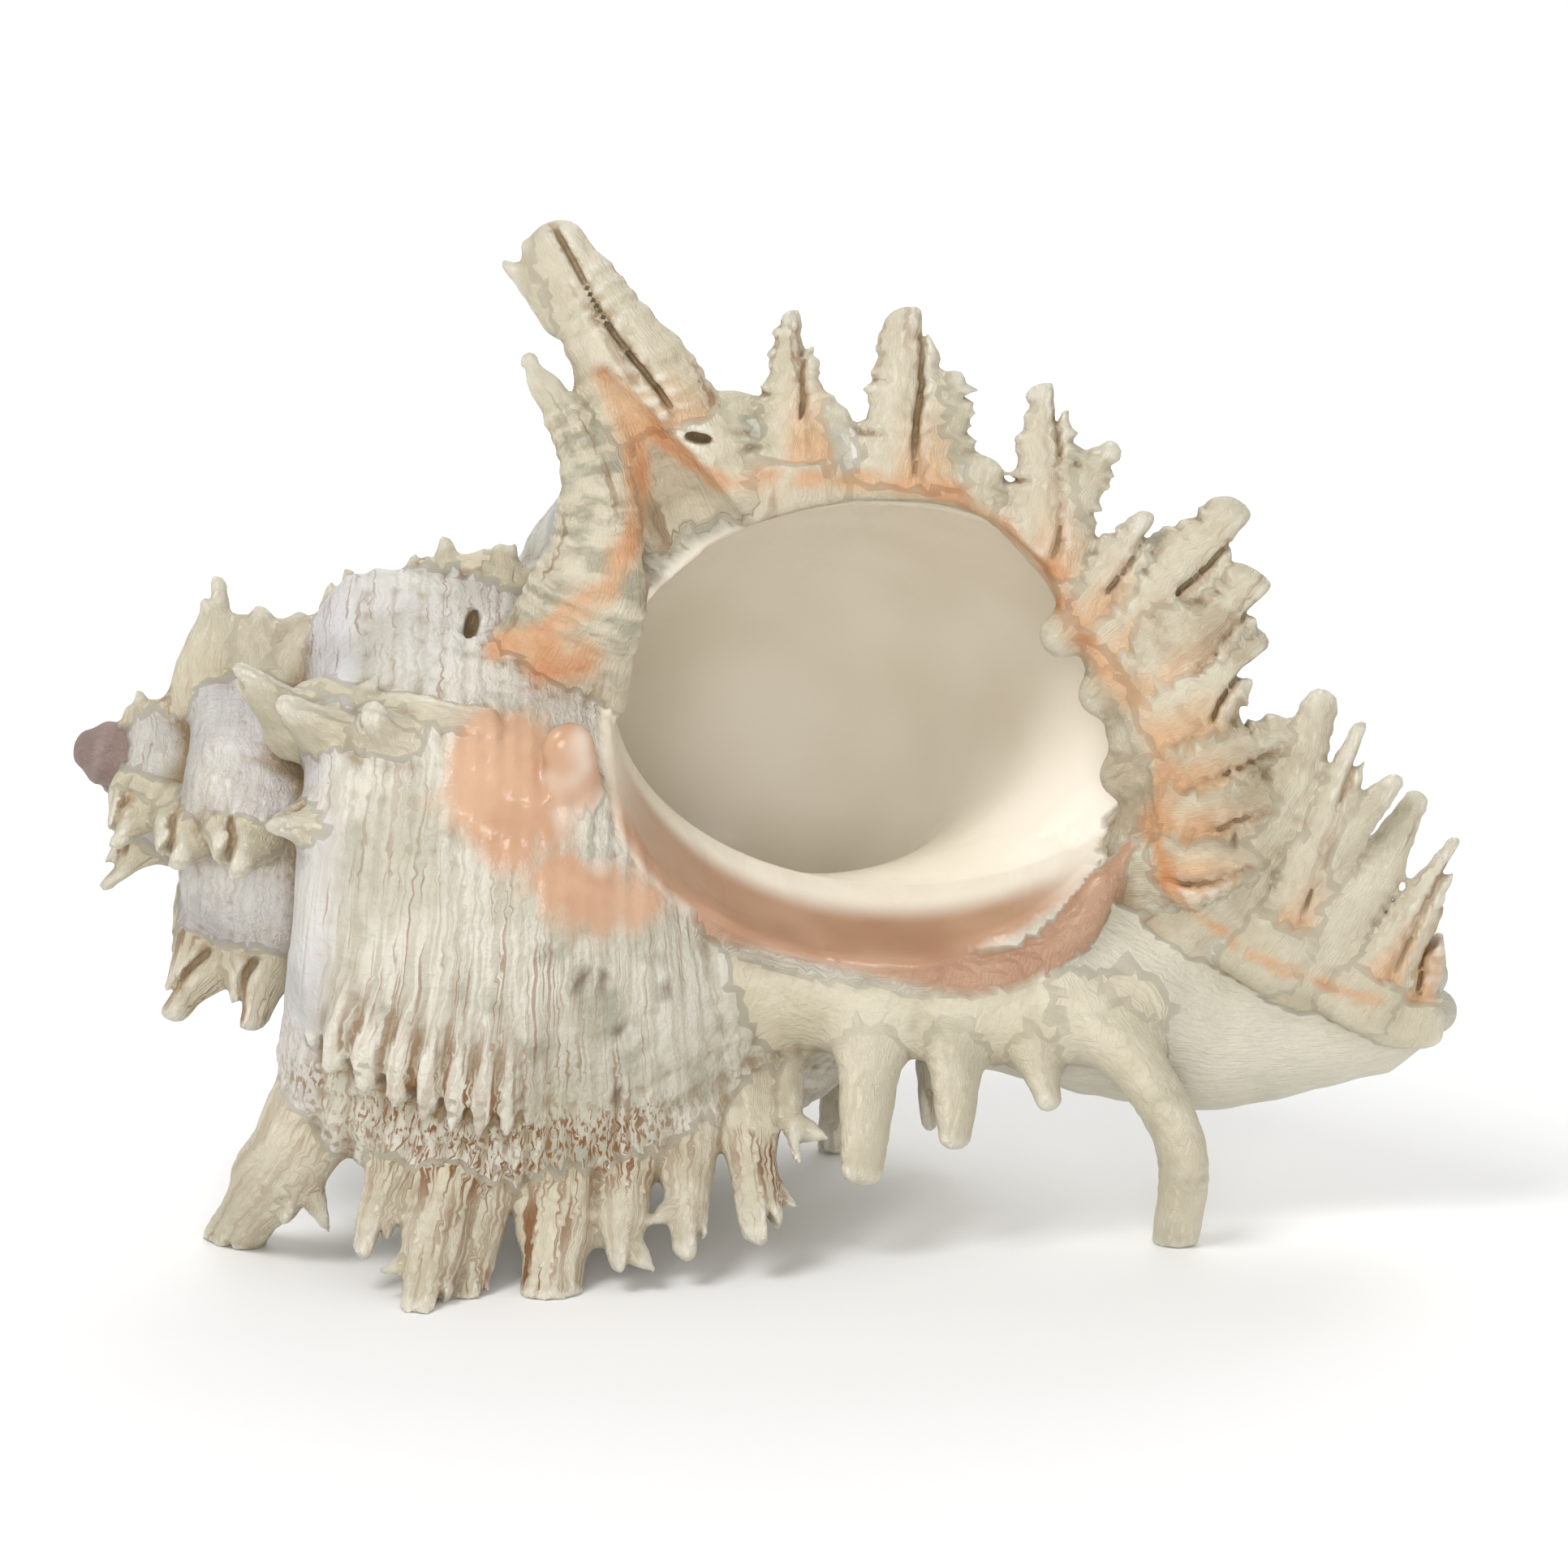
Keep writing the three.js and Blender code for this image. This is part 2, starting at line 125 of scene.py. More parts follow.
def add(part, form, kind, soft, grown=0.0, striped=0.0):
    """Joins a form to the clay, and notes whose cells they are."""
    here = distance[part]
    mine = form < here
    distance[part] = soft_join(here, form, soft)
    owner[part][mine] = kind
    growth[part][mine] = np.broadcast_to(grown, form.shape)[mine]
    stripe[part][mine] = np.broadcast_to(striped, form.shape)[mine]


def carve(part, form, soft=0.3):
    """Takes a form out of the clay, with a softened edge."""
    distance[part] = -soft_join(-distance[part], form, soft)


FULL_TURN = 6.28
WAVE_COUNT = 7


def waves(along, up, front, length, seed):
    """Smooth lumps of about one size: a few plane waves in random directions."""
    draw = np.random.default_rng(seed)
    total = 0
    for _ in range(WAVE_COUNT):
        way = draw.normal(size=3)
        way *= 2 * math.pi / length / np.linalg.norm(way) * draw.uniform(0.7, 1.4)
        phase = way[0] * along + way[1] * up + way[2] * front
        total = total + np.sin(phase + draw.uniform(0, FULL_TURN))
    return 2 * total / WAVE_COUNT


print("grid of", COUNT, "cells,", VOXEL, "mm each")

# %% [markdown]
# ## The whorls
# The outside of the tube is one outline, drawn once at the lip. Going back
# round the axis it only shrinks, so each cell can be scaled up to the lip and
# measured there. The outline stands out at the varices, the old lips.

# %% Outline and varices
OUTLINE = np.array([
    [0, 49], [2, 50], [28, 56], [46, 55], [55, 60], [60, 73], [61.5, 90],
    [60.5, 107], [56, 123], [47.5, 138], [35, 150], [18, 158], [2, 162], [0, 163],
])
CENTRE = (30.0, 103.0)
VARICES = [
    (8, 0.09), (-105, 0.1), (-215, 0.17), (-305, 0.03), (-362, 0.14), (-450, 0.1),
    (-545, 0.12), (-640, 0.16), (-722, 0.16), (-810, 0.12), (-900, 0.16), (-1080, 0.14),
]
VARIX_HALF_WIDTH = 12.0
SPIRE_FIRST_TURN = -1260.0
WHORL, SPINE, PLAIN, CALLUS, CANAL, KNOB = 1, 2, 3, 4, 5, 6
SAMPLES, ROUNDED_OVER = 900, 30
RAY_TO_NEAREST = 0.97  # the nearest way out is a little shorter than the ray


def outline_by_angle():
    """The outline as a distance from its centre, for each angle about it."""
    corners = OUTLINE - CENTRE
    t = np.linspace(0, len(corners) - 1, SAMPLES)
    out = np.interp(t, range(len(corners)), corners[:, 0])
    along = np.interp(t, range(len(corners)), corners[:, 1])
    kernel = np.hanning(2 * ROUNDED_OVER + 1)
    kernel = kernel / kernel.sum()
    out = np.convolve(np.pad(out, ROUNDED_OVER, "edge"), kernel, "valid")
    along = np.convolve(np.pad(along, ROUNDED_OVER, "edge"), kernel, "valid")
    angle = np.arctan2(out, along)
    order = np.argsort(angle)
    return angle[order], np.hypot(out, along)[order]


ANGLES, REACHES = outline_by_angle()


def varix_rise(turn):
    rise = 0
    for place, height in VARICES:
        rise = np.maximum(rise, height * np.exp(-(((turn - place) / VARIX_HALF_WIDTH) ** 2)))
    return rise


def whorl_form(along, out, turn):
    """Distance to the tube at a turn, and the angle about the outline's centre."""
    size = size_at(turn)
    o = out / (size * (1 + varix_rise(turn))) - CENTRE[0]
    a = along / size - CENTRE[1]
    girth = np.arctan2(o, a)
    beyond = np.hypot(o, a) - np.interp(girth, ANGLES, REACHES)
    return beyond * size * RAY_TO_NEAREST, girth


print("outline of", len(ANGLES), "angles,", len(VARICES), "varices")

# %% [markdown]
# ## Cords, ridges and the curtain
# Spiral cords follow the coil, growth ridges cross it, and in front there is a
# scalloped curtain where growth rested once. They are heights over the plain
# outline, added to the distance, so they are real relief.

# %% Grow the whorls
CORDS, FINER = 44.0, 3.1
TERRACE, STEEP_FROM = 9.0, 0.75
RELIEF = {"cord": 0.42, "fine cord": 0.14, "ridge": 0.4, "lumps": 0.3}
CALM_UNDER_MOUTH, CALM_ON_SLOPE = 0.65, 0.6
WHORL_END, CLOSE, SEAM = 165, 4.0, 0.7
LEDGE = {"from": -256.0, "edge": -231.0, "near": 38.0, "far": 73.0, "lobes": 21.0, "high": 3.4}


def ledge(along, turn, girth):
    """A scalloped curtain across the front, where growth once stopped for a while."""
    lobes = np.cos(girth * LEDGE["lobes"] * 2)
    edge = LEDGE["edge"] + 2.2 * lobes + (along - 55) * 0.12
    across = smooth(LEDGE["near"], LEDGE["near"] + 6, along)
    across = across * (1 - smooth(LEDGE["far"] - 9, LEDGE["far"], along))
    climb = smooth(LEDGE["from"], LEDGE["edge"], turn) * (1 - smooth(edge, edge + 1.5, turn))
    return across * climb, lobes


def relief(along, up, front, turn, girth):
    """Cords along the coil and growth ridges across it, in millimetres."""
    size = size_at(turn) ** 0.6
    near_varix = varix_rise(turn) / 0.17
    cord = np.cos(girth * CORDS + 0.5 * waves(along, up, front, 30, 3))
    fine_cord = np.cos(girth * CORDS * FINER)
    terraces = (turn + 3 * waves(along, up, front, 18, 5)) / TERRACE
    ridge = 1 - np.abs(((terraces % 1) - STEEP_FROM) / STEEP_FROM)
    lumps = waves(along, up, front, 13, 8)
    curtain, lobes = ledge(along, turn, girth)
    calm = CALM_UNDER_MOUTH * (1 - smooth(10, 24, up)) * (front > 0)
    calm = 1 - calm * smooth(-290, -262, turn) * (turn < -240)
    slope = 1 - smooth(58, 68, along / size_at(turn))
    calm = calm * (1 - CALM_ON_SLOPE * slope)
    height = RELIEF["cord"] * cord * (0.7 + 0.5 * lumps)
    height = height + RELIEF["fine cord"] * fine_cord + RELIEF["ridge"] * ridge
    grown_out = curtain * (LEDGE["high"] + 0.9 * lobes)
    return size * (height * calm * (0.75 + 0.6 * near_varix) + RELIEF["lumps"] * lumps) + grown_out


def grow_whorls():
    part = window(LOW, HIGH)
    along, up, front = places(part)
    out = np.hypot(up, front)
    angle = np.degrees(np.arctan2(front, up))
    first = np.where(angle > LIP_TURN, angle - 360, angle)
    for back in range(-1, 4):
        turn = (first - 360 * back).astype(np.float32)
        live = (turn > SPIRE_FIRST_TURN) & (turn < LIP_TURN + 30)
        top = WHORL_END * size_at(min(LIP_TURN, LIP_TURN - 360 * max(back, 0)))
        near = np.broadcast_to(live, COUNT) & (along < top * 1.05)
        i, j, k = np.nonzero(near)
        a, o, t = along[i, 0, 0], out[0, j, k], turn[0, j, k]
        form, girth = whorl_form(a, o, t)
        if back <= 0:
            form = np.maximum(form, o * np.sin(np.radians(np.clip(t - LIP_TURN, -90, 90))))
        close = np.abs(form) < CLOSE
        i, j, k, a, t, girth = i[close], j[close], k[close], a[close], t[close], girth[close]
        raised = form[close] - relief(a, up[0, j, 0], front[0, 0, k], t, girth)
        form[close] = raised
        whole = np.full(COUNT, FAR, np.float32)
        whole[near] = form
        keep = whole < FAR
        mine = keep & (whole < distance)
        distance[keep] = soft_join(distance[keep], whole[keep], SEAM)
        owner[mine] = WHORL
        growth[mine] = np.broadcast_to(turn, COUNT)[mine]
        girths = np.zeros(COUNT, np.float32)
        girths[i, j, k] = girth
        stripe[mine] = girths[mine]


grow_whorls()
print("cells inside the whorls:", int((distance < 0).sum()))


# %% [markdown]
# ## The canal and the knob
# At the far end the tube narrows to the siphonal canal, a long smooth snout.
# It is a row of ellipses, and a cell is measured against the ellipse that
# stands at its own place along the axis. The knob at the other end is the
# first shell of the young animal, smooth and blunt.

# %% Canal and knob
CANAL_ROWS = np.array([
    # along, up, front, half height, half depth
    [112, 12, 2, 20, 15], [128, 7, 3, 19, 13], [143, 3, 2, 16, 11], [158, 0.5, 1, 12.5, 9],
    [172, 3, 0, 9.5, 7], [183, 6.5, -1, 6.8, 5.2], [188, 9, -1, 3.6, 3.2],
])
CANAL_LINES, CANAL_LUMPS = 0.12, 0.25


def ellipse_form(x, y, half_x, half_y, z=0.0, half_z=1.0):
    """Close to the distance from an ellipse, or from an ellipsoid."""
    scaled = np.sqrt((x / half_x) ** 2 + (y / half_y) ** 2 + (z / half_z) ** 2)
    length = np.sqrt(x * x + y * y + z * z)
    return (scaled - 1) * np.maximum(length, 0.05) / np.maximum(scaled, 0.01)


def grow_canal():
    part = window((108, -30, -18), (192, 40, 22))
    along, up, front = places(part)
    row = [np.interp(along, CANAL_ROWS[:, 0], CANAL_ROWS[:, i]) for i in range(1, 5)]
    beyond = np.maximum(0, along - 186) + np.minimum(0, along - 114)
    form = ellipse_form(up - row[0], front - row[1], row[2], row[3], beyond, 4.0)
    lines = np.sin(along * 0.9 + 0.6 * waves(along, up, front, 22, 11))
    form = form - CANAL_LINES * lines - CANAL_LUMPS * waves(along, up, front, 16, 12)
    add(part, form, CANAL, 2.5, along * 1.0, np.arctan2(front - row[1], up - row[0]))


def grow_knob():
    part = window((-4, -8, -8), (16, 9, 8))
    along, up, front = places(part)
    radius = 3.3 + 1.9 * smooth(0, 9, along) + 0.35 * np.cos(along * 1.7)
    beyond = np.minimum(0, along - 3.3)
    form = ellipse_form(up - 0.4, front, radius, radius, beyond, 3.3)
    add(part, form, KNOB, 0.8, along * 4.0, np.arctan2(front, up))


grow_canal()
grow_knob()
print("cells inside, with the canal:", int((distance < 0).sum()))

# %% [markdown]
# ## The path of a spine
# Spines, stalks and fronds all follow a curve through a few points. For each
# cell near the curve we find the nearest place on it. Then a bent spine can be
# described as if it were straight.

# %% A curve and the cells near it
def curve_through(path, per_span=6):
    """Points of a smooth curve through a few given ones."""
    path = np.asarray(path, float)
    if len(path) == 2:
        return np.linspace(path[0], path[1], 7)
    ends = [2 * path[0] - path[1], *path, 2 * path[-1] - path[-2]]
    points = []
    for a, b, c, d in zip(ends, ends[1:], ends[2:], ends[3:]):
        for t in np.arange(per_span) / per_span:
            points.append(0.5 * (2 * b + (c - a) * t + (2 * a - 5 * b + 4 * c - d) * t * t
                                 + (3 * b - a - 3 * c + d) * t ** 3))
    return np.array([*points, path[-1]])


def unit(rows):
    return rows / np.linalg.norm(rows, axis=-1, keepdims=True)


def along_curve(line, reach):
    """The cells near a curve: where they are and how far along it, in segments."""
    part = window(line.min(0) - reach, line.max(0) + reach)
    start = np.array([p.start for p in part])
    nearest = np.full([p.stop - p.start for p in part], reach * reach, np.float32)
    place = np.full(nearest.shape, -1, np.float32)
    for i, (a, b) in enumerate(zip(line[:-1], line[1:])):
        near = window(np.minimum(a, b) - reach, np.maximum(a, b) + reach)
        inner = tuple(slice(n.start - s, n.stop - s) for n, s in zip(near, start))
        along, up, front = places(near)
        d = b - a
        t = ((along - a[0]) * d[0] + (up - a[1]) * d[1] + (front - a[2]) * d[2]) / (d @ d)
        t = np.clip(t, 0, 1)
        gap = (along - a[0] - t * d[0]) ** 2 + (up - a[1] - t * d[1]) ** 2
        gap = gap + (front - a[2] - t * d[2]) ** 2
        closer = gap < nearest[inner]
        nearest[inner] = np.where(closer, gap, nearest[inner])
        place[inner] = np.where(closer, i + t, place[inner])
    cells = np.nonzero(place >= 0)
    points = np.stack([LOW[i] + VOXEL * (cells[i] + start[i]) for i in range(3)], -1)
    return part, cells, points, place[cells], nearest.shape


print("a bent spine has", len(curve_through([[0, 0, 0], [1, 9, 0], [0, 20, 0]])), "places along it")

# %% [markdown]
# ## Edges and gutter of a spine
# A spine of this shell is a sheet folded into a gutter, because the mantle that
# makes it is folded too. Its edges are ruffled and toothed, and the fold shows
# as a dark slit. Sine waves with random starts give the ruffles, and the slit
# is carved, so it has real depth.

# %% Edges and gutter
LATE_TAPER = 1.35
RUFFLE_SCALE, SWAY_SCALE, SERRATION = 2.1, 5.0, 3.3
TEETH = 0.3
FOLD_PLACE, FOLD_WANDER = 0.3, 0.16
SLIT_FROM, SLIT_DEPTH, NARROWEST_SLIT = 0.3, 0.55, 0.38
BEHIND = 4.0


def edges(t, length, x, wide, ruffle, flare, serrated, draw):
    """The half width at each cell, the wave of the ruffle, and x with its sway."""
    wave = np.sin(t * length / RUFFLE_SCALE + draw.uniform(0, FULL_TURN))
    half_wide = (wide[0] + (wide[1] - wide[0]) * t ** LATE_TAPER) * (1 + ruffle * wave)
    half_wide = half_wide * (1 + flare * (1 - t) ** 2)
    shift = np.sign(x) + draw.uniform(0, FULL_TURN)
    beat = t * length * FULL_TURN / SERRATION + 1.5 * shift
    teeth = np.sin(beat + 1.5 * np.sin(t * length * 0.8 + shift))
    teeth = teeth + 0.6 * np.sin(t * length * 3.9 + 2.6 * shift)
    half_wide = half_wide + TEETH * serrated * teeth * smooth(0.15, 0.4, t)
    sway = np.sin(t * length / SWAY_SCALE + draw.uniform(0, FULL_TURN))
    return half_wide, wave, x - 0.75 * half_wide * ruffle * sway


def open_gutter(form, t, length, lean, y, half_wide, half_thick, slit, even, draw):
    """Carves the fold, and lets the sheet beside it end short of the tip."""
    opening = np.maximum(slit * half_wide, NARROWEST_SLIT) * (0.8 + 0.3 * y / half_thick)
    wander = FOLD_WANDER * np.sin(t * 6 + draw.uniform(0, FULL_TURN))
    centre = half_wide * (FOLD_PLACE + wander)
    short = (t - draw.uniform(0.84, 0.95)) * length + 1.1 * np.sin(lean * 1.9)
    if not even:
        form = -soft_join(-form, np.maximum(-short, centre - lean), 0.6)
    depth = half_thick * (1 - SLIT_DEPTH * smooth(SLIT_FROM, SLIT_FROM + 0.15, t))
    return -soft_join(-form, np.maximum(np.abs(lean - centre) - opening, depth - y), 0.5)


print("a slit is", 2 * NARROWEST_SLIT, "mm wide at least")

# %% [markdown]
# ## One function for all spines
# From a plain stalk to a ruffled frond with thorns, only the numbers differ, so
# one function grows them all. A frond has a seed of its own, so it stays the
# same when another one changes.

# %% Grow a spine
MARGIN = 2.5
WRINKLES, COARSE_WRINKLES, RIBS = 0.07, 0.22, 0.12
TIP_SHARE = 0.8


def frond(path, wide, thick, open_way, slit=0.0, ruffle=0.0, thorns=0, kind=SPINE,
          soft=1.4, seed=1, flare=0.0, serrated=0.0, even=False):
    """A spine along path. wide and thick are its half sizes at base and tip."""
    draw = np.random.default_rng(seed)
    line = curve_through(path)
    length = np.linalg.norm(np.diff(line, axis=0), axis=1).sum()
    forward = unit(np.gradient(line, axis=0))
    across = unit(np.cross(forward, open_way))
    facing = np.cross(across, forward)
    reach = max(max(wide), max(thick)) * (1 + flare) + MARGIN
    part, cells, points, place, shape = along_curve(line, reach)
    steps = np.arange(len(line))

    def at_place(rows):
        return np.stack([np.interp(place, steps, rows[:, i]) for i in range(3)], -1)

    t = place / steps[-1]
    offset = points - at_place(line)
    x, y, z = ((offset * at_place(way)).sum(-1) for way in (across, facing, forward))
    half_wide, wave, lean = edges(t, length, x, wide, ruffle, flare, serrated, draw)
    half_thick = thick[0] + (thick[1] - thick[0]) * t ** LATE_TAPER
    form = ellipse_form(lean, y, half_wide, half_thick, z, half_thick)
    wrinkle = np.sin(t * length * 2.1 + 2.5 * wave + 0.5 * np.sin(x * 1.3))
    form = form - (COARSE_WRINKLES if even else WRINKLES) * wrinkle * smooth(0, 0.2, t)
    form = form - RIBS * np.cos(x * 2.4) * (thorns > 0)
    if slit > 0:
        form = open_gutter(form, t, length, lean, y, half_wide, half_thick, slit, even, draw)
    whole = np.full(shape, FAR, np.float32)
    grown, striped = np.zeros(shape, np.float32), np.zeros(shape, np.float32)
    whole[cells] = form
    grown[cells] = t * length
    folded = (y > 0) & (t > SLIT_FROM) & (slit > 0)
    striped[cells] = x / half_wide + BEHIND * (1 - folded)
    add(part, whole, kind, soft, grown, striped)
    for _ in range(thorns):
        grow_thorn(line, across, facing, forward, wide, kind, draw)


def grow_thorn(line, across, facing, forward, wide, kind, draw):
    """A small thorn at a random place on the edge of a spine."""
    i = int(draw.integers(len(line) // 3, len(line) - 1))
    side = draw.choice([-1.0, 1.0])
    width = wide[0] + (wide[1] - wide[0]) * (i / (len(line) - 1)) ** LATE_TAPER
    root = line[i] + across[i] * side * width * 0.55
    tip = line[i] + across[i] * side * (width + draw.uniform(1.6, 3.2))
    tip = tip + forward[i] * draw.uniform(1.5, 4.0) + facing[i] * draw.uniform(-0.5, 1.0)
    frond([root, tip], [1.9, 0.5], [1.3, 0.5], facing[i], kind=kind, soft=1.0)


def flattened(wide, share):
    """Half thickness at base and tip, as a share of the half width."""
    return [wide[0] * share, wide[1] * TIP_SHARE]


print("a spine is worked out", MARGIN, "mm past its edge")

# %% [markdown]
# ## The last canal and the folds
# Each time the animal moved on, its old canal was left behind as a curved
# stalk, and a rough ridge of old growth stands where it bends away. These come
# before the hollow is cut, because the hollow passes through their roots.

# %% Ridges and the old canal
FRONT = np.array([0.0, 0.0, 1.0])
UP = np.array([0.0, 1.0, 0.0])
SOLID_FORMS = [
    # path, half width, half thickness, softness, kind
    ([[136, 2, 12], [148, -4.5, 15], [157, -15, 14], [160, -31, 9]], [4.4, 3], [4, 2.8], 3, PLAIN),
    ([[78, -3, 6], [106, -3, 8], [128, 0, 8], [144, 2, 8]], [13, 7], [12.5, 6.5], 6, PLAIN),
    ([[112, -6, 14], [115.5, -26, 20]], [4.8, 3.1], [3.8, 2], 4, PLAIN),
    ([[123, -4, 14], [126.5, -19, 18]], [4.4, 2.6], [3.6, 1.8], 4, PLAIN),
    ([[132, -2, 13], [137.5, -11.5, 16]], [3.8, 2.3], [3.2, 1.6], 4, PLAIN),
    ([[138, 24, 6], [150, 17, 7], [163, 13.5, 6], [176, 13.5, 4], [184, 14, 2]],
     [5, 2.6], [5, 3.2], 2, CANAL),
    ([[64, 22, 29], [71, 8, 26], [85, 3, 21], [101, 1.5, 19], [117, 2, 18], [129, 5, 16],
      [136, 13, 14], [138, 24, 12]], [2.2, 2.0], [3.6, 2.4], 1.6, CALLUS),
]

for path, wide, thick, soft, kind in SOLID_FORMS:
    frond(path, wide, thick, UP, kind=kind, soft=soft)
print(len(SOLID_FORMS), "ridges and stalks")

# %% [markdown]
# ## The hollow
# The animal lived in the tube, so the tube is hollow: the same kind of sweep,
# a leaning ellipse that shrinks with the turns and closes softly inside. At
# the lip it flares and opens straight to the front.

# %% Cut the hollow
HOLLOW_OUT, HOLLOW_ALONG = 32.0, 101.0
HOLLOW_LONG, HOLLOW_HIGH = 32.0, 24.7
FLARE_LONG, FLARE_HIGH = 0.17, 0.065
FLARE_TURNS, FLARE_TO_CANAL = 35, 0.6
HOLLOW_DEEPEST = -245.0
CLOSING_TURNS, CLOSING = 45, 14
MOUTH_REACH = 40.0
MOUTH_RAMP = 0.011
LIP_SLOPE = math.radians(LIP_TURN)


def hollow_form(along, up, front):
    """Distance to the hollow and its mouth, less than zero in the air."""
    turn = np.degrees(np.arctan2(front, up))
    past_lip = front * math.cos(LIP_SLOPE) - up * math.sin(LIP_SLOPE)
    in_mouth = (past_lip > 0) & (up > 0)
    turn = np.where(turn > LIP_TURN, turn - 360, turn)
    turn = np.where(in_mouth, LIP_TURN, turn)
    out = np.where(in_mouth, up / math.cos(LIP_SLOPE), np.hypot(up, front))
    size = size_at(turn)
    edge = np.clip(1 - (LIP_TURN - turn) / FLARE_TURNS, 0, 1) ** 2
    o, a = out / size - HOLLOW_OUT, along / size - HOLLOW_ALONG
    high = o * math.cos(TILT) - a * math.sin(TILT) - FLARE_HIGH * edge * HOLLOW_HIGH
    ramp = 1 + MOUTH_RAMP * np.clip(past_lip, 0, MOUTH_REACH) * in_mouth
    high = np.where(high < 0, high / ramp, high)
    long = o * math.sin(TILT) + a * math.cos(TILT)
    long = long - FLARE_LONG * edge * FLARE_TO_CANAL * HOLLOW_LONG
    half_high = (1 + FLARE_HIGH * edge) * HOLLOW_HIGH
    half_long = (1 + FLARE_LONG * edge) * HOLLOW_LONG
    form = ellipse_form(high, long, half_high, half_long) * size
    deep = (HOLLOW_DEEPEST + CLOSING_TURNS - turn) / CLOSING_TURNS
    form = form + CLOSING * np.clip(deep, 0, 9) ** 2
    return np.maximum(form, past_lip * in_mouth - MOUTH_REACH)


def cut_hollow():
    part = window((20, -62, -50), (145, 75, 45))
    along, up, front = places(part)
    form = hollow_form(along, up, front).astype(np.float32)
    carve(part, np.clip(form, -FAR, FAR), 0.9)


cut_hollow()
print("cells inside after the hollow:", int((distance < 0).sum()))

# %% [markdown]
# ## The lip
# The lip carries the showiest fronds: the green horn and the tall one beside
# the notch, three tall ones along the top, a crowd of short ruffled ones round
# the shoulder of the canal, and three that stand on the canal itself.

# %% Fronds of the lip
LIP_FRONDS = [
    # path, half width, slit, ruffle, serration
    ([[60, 27, 10], [62, 43, 13], [58, 56, 12], [47, 67, 8]], [7.8, 1.2], 0, 0.03, 0),
    ([[71, 54, 6], [61, 68, 8], [47, 82, 4]], [9.5, 4.0], 0.04, 0.03, 0),
    ([[78, 55, 6], [75, 67, 7]], [5.6, 3.4], 0, 0.05, 0),
    ([[50, 74, 6], [41, 78.5, 6]], [2.6, 0.7], 0, 0, 0),
    ([[50, 76, 6], [43, 81.5, 6]], [2.0, 0.6], 0, 0, 0),
    ([[86, 55, 7], [83, 68, 8], [79.5, 80, 6]], [6.4, 2.2], 0.08, 0.06, 1.5),
    ([[89, 58, 7], [87.5, 70, 9]], [3.8, 1.8], 0, 0.1, 1.5),
    ([[100, 56, 7], [98, 69, 9], [94.5, 83, 7]], [7, 3.8], 0.08, 0.06, 1.3),
    ([[104, 62, 8], [102, 78, 9]], [4.0, 2.0], 0, 0.1, 2.0),
    ([[108, 55, 7], [108.5, 68, 10]], [4.6, 2.0], 0, 0.12, 1.8),
    ([[118, 48, 7], [118, 63, 10], [114.5, 78.5, 7]], [6.8, 2.6], 0.08, 0.08, 1.3),
    ([[119, 62, 9], [123.5, 74, 10]], [4.0, 2.2], 0, 0.12, 1.8),
    ([[124, 44, 6], [130.5, 66, 11]], [6.4, 2.4], 0.08, 0.1, 1.2),
    ([[127, 40, 5], [134, 54, 8], [142, 68, 7]], [7.6, 4.2], 0.06, 0.12, 1.2),
    ([[131, 36, 6], [140, 50, 11], [146.5, 60, 9]], [6.8, 4.0], 0.06, 0.16, 1.4),
    ([[134, 32, 6], [143, 44, 12], [149, 52, 10]], [6.6, 4.0], 0.06, 0.16, 1.4),
    ([[136, 28, 6], [146, 37, 13], [155, 42, 11]], [6.4, 3.0], 0.06, 0.14, 1.4),
    ([[138, 24, 7], [148, 31, 14], [156, 34, 12]], [6.2, 3.0], 0.06, 0.14, 1.4),
    ([[140, 20, 8], [148, 24, 14], [155, 26, 13]], [5.8, 3.2], 0.06, 0.14, 1.2),
    ([[148, 15, 7], [153, 24, 11], [158, 36, 11], [159.5, 48.5, 10]], [6.8, 2.2], 0, 0.05, 0.4),
    ([[160, 12, 9], [163.5, 25, 12], [165.4, 46.5, 13]], [5.0, 1.5], 0.08, 0.05, 0.4),
    ([[164, 27, 12], [171.5, 41, 13]], [3.4, 1.3], 0, 0, 0.4),
    ([[165, 10, 6], [169, 22, 10], [173, 30, 10], [175.5, 38.5, 9]], [5.6, 1.6], 0, 0.05, 0.4),
    ([[174, 9, 8], [177.5, 19, 10], [182, 34, 11]], [4.6, 1.5], 0.08, 0.05, 0.4),
    ([[180, 8, 5], [182, 22, 7]], [5.6, 4.0], 0.08, 0.1, 1.0),
]

NODULES = [
    ([124, 48.5, 9], [127, 53, 9]), ([131, 42, 9], [135, 47, 9]), ([136.5, 32, 9], [140, 36, 9]),
]
RIM = [[76, 56, 6], [83, 62, 7], [92, 65.5, 7], [103, 66, 7], [114, 62.5, 7], [124, 55, 7],
       [132, 45, 7], [138, 34, 8], [141, 24, 8]]
# The mouth widens to the front, and leaves this much wall behind the outline.
MOUTH_BEVEL, LIP_WALL = 0.15, 3.5
MOUTH_FROM, MOUTH_ABOVE, MOUTH_SOFT = 76, 20, 1.5
# The edge of the mouth beside the canal, along and up.
MOUTH_EDGE = np.array([
    [144, 20], [143, 24.6], [139.5, 33], [136, 39], [131, 45], [126, 50], [120, 57.5], [110, 63],
])
# The trough beside the horn: a row of balls, along, up, front and radius.
TROUGH = [
    [57, 68, 12, 1.0], [61, 64.5, 13, 2.0], [66, 60, 13, 3.4], [72, 53, 12, 5.6], [78, 46, 12, 7.5],
]


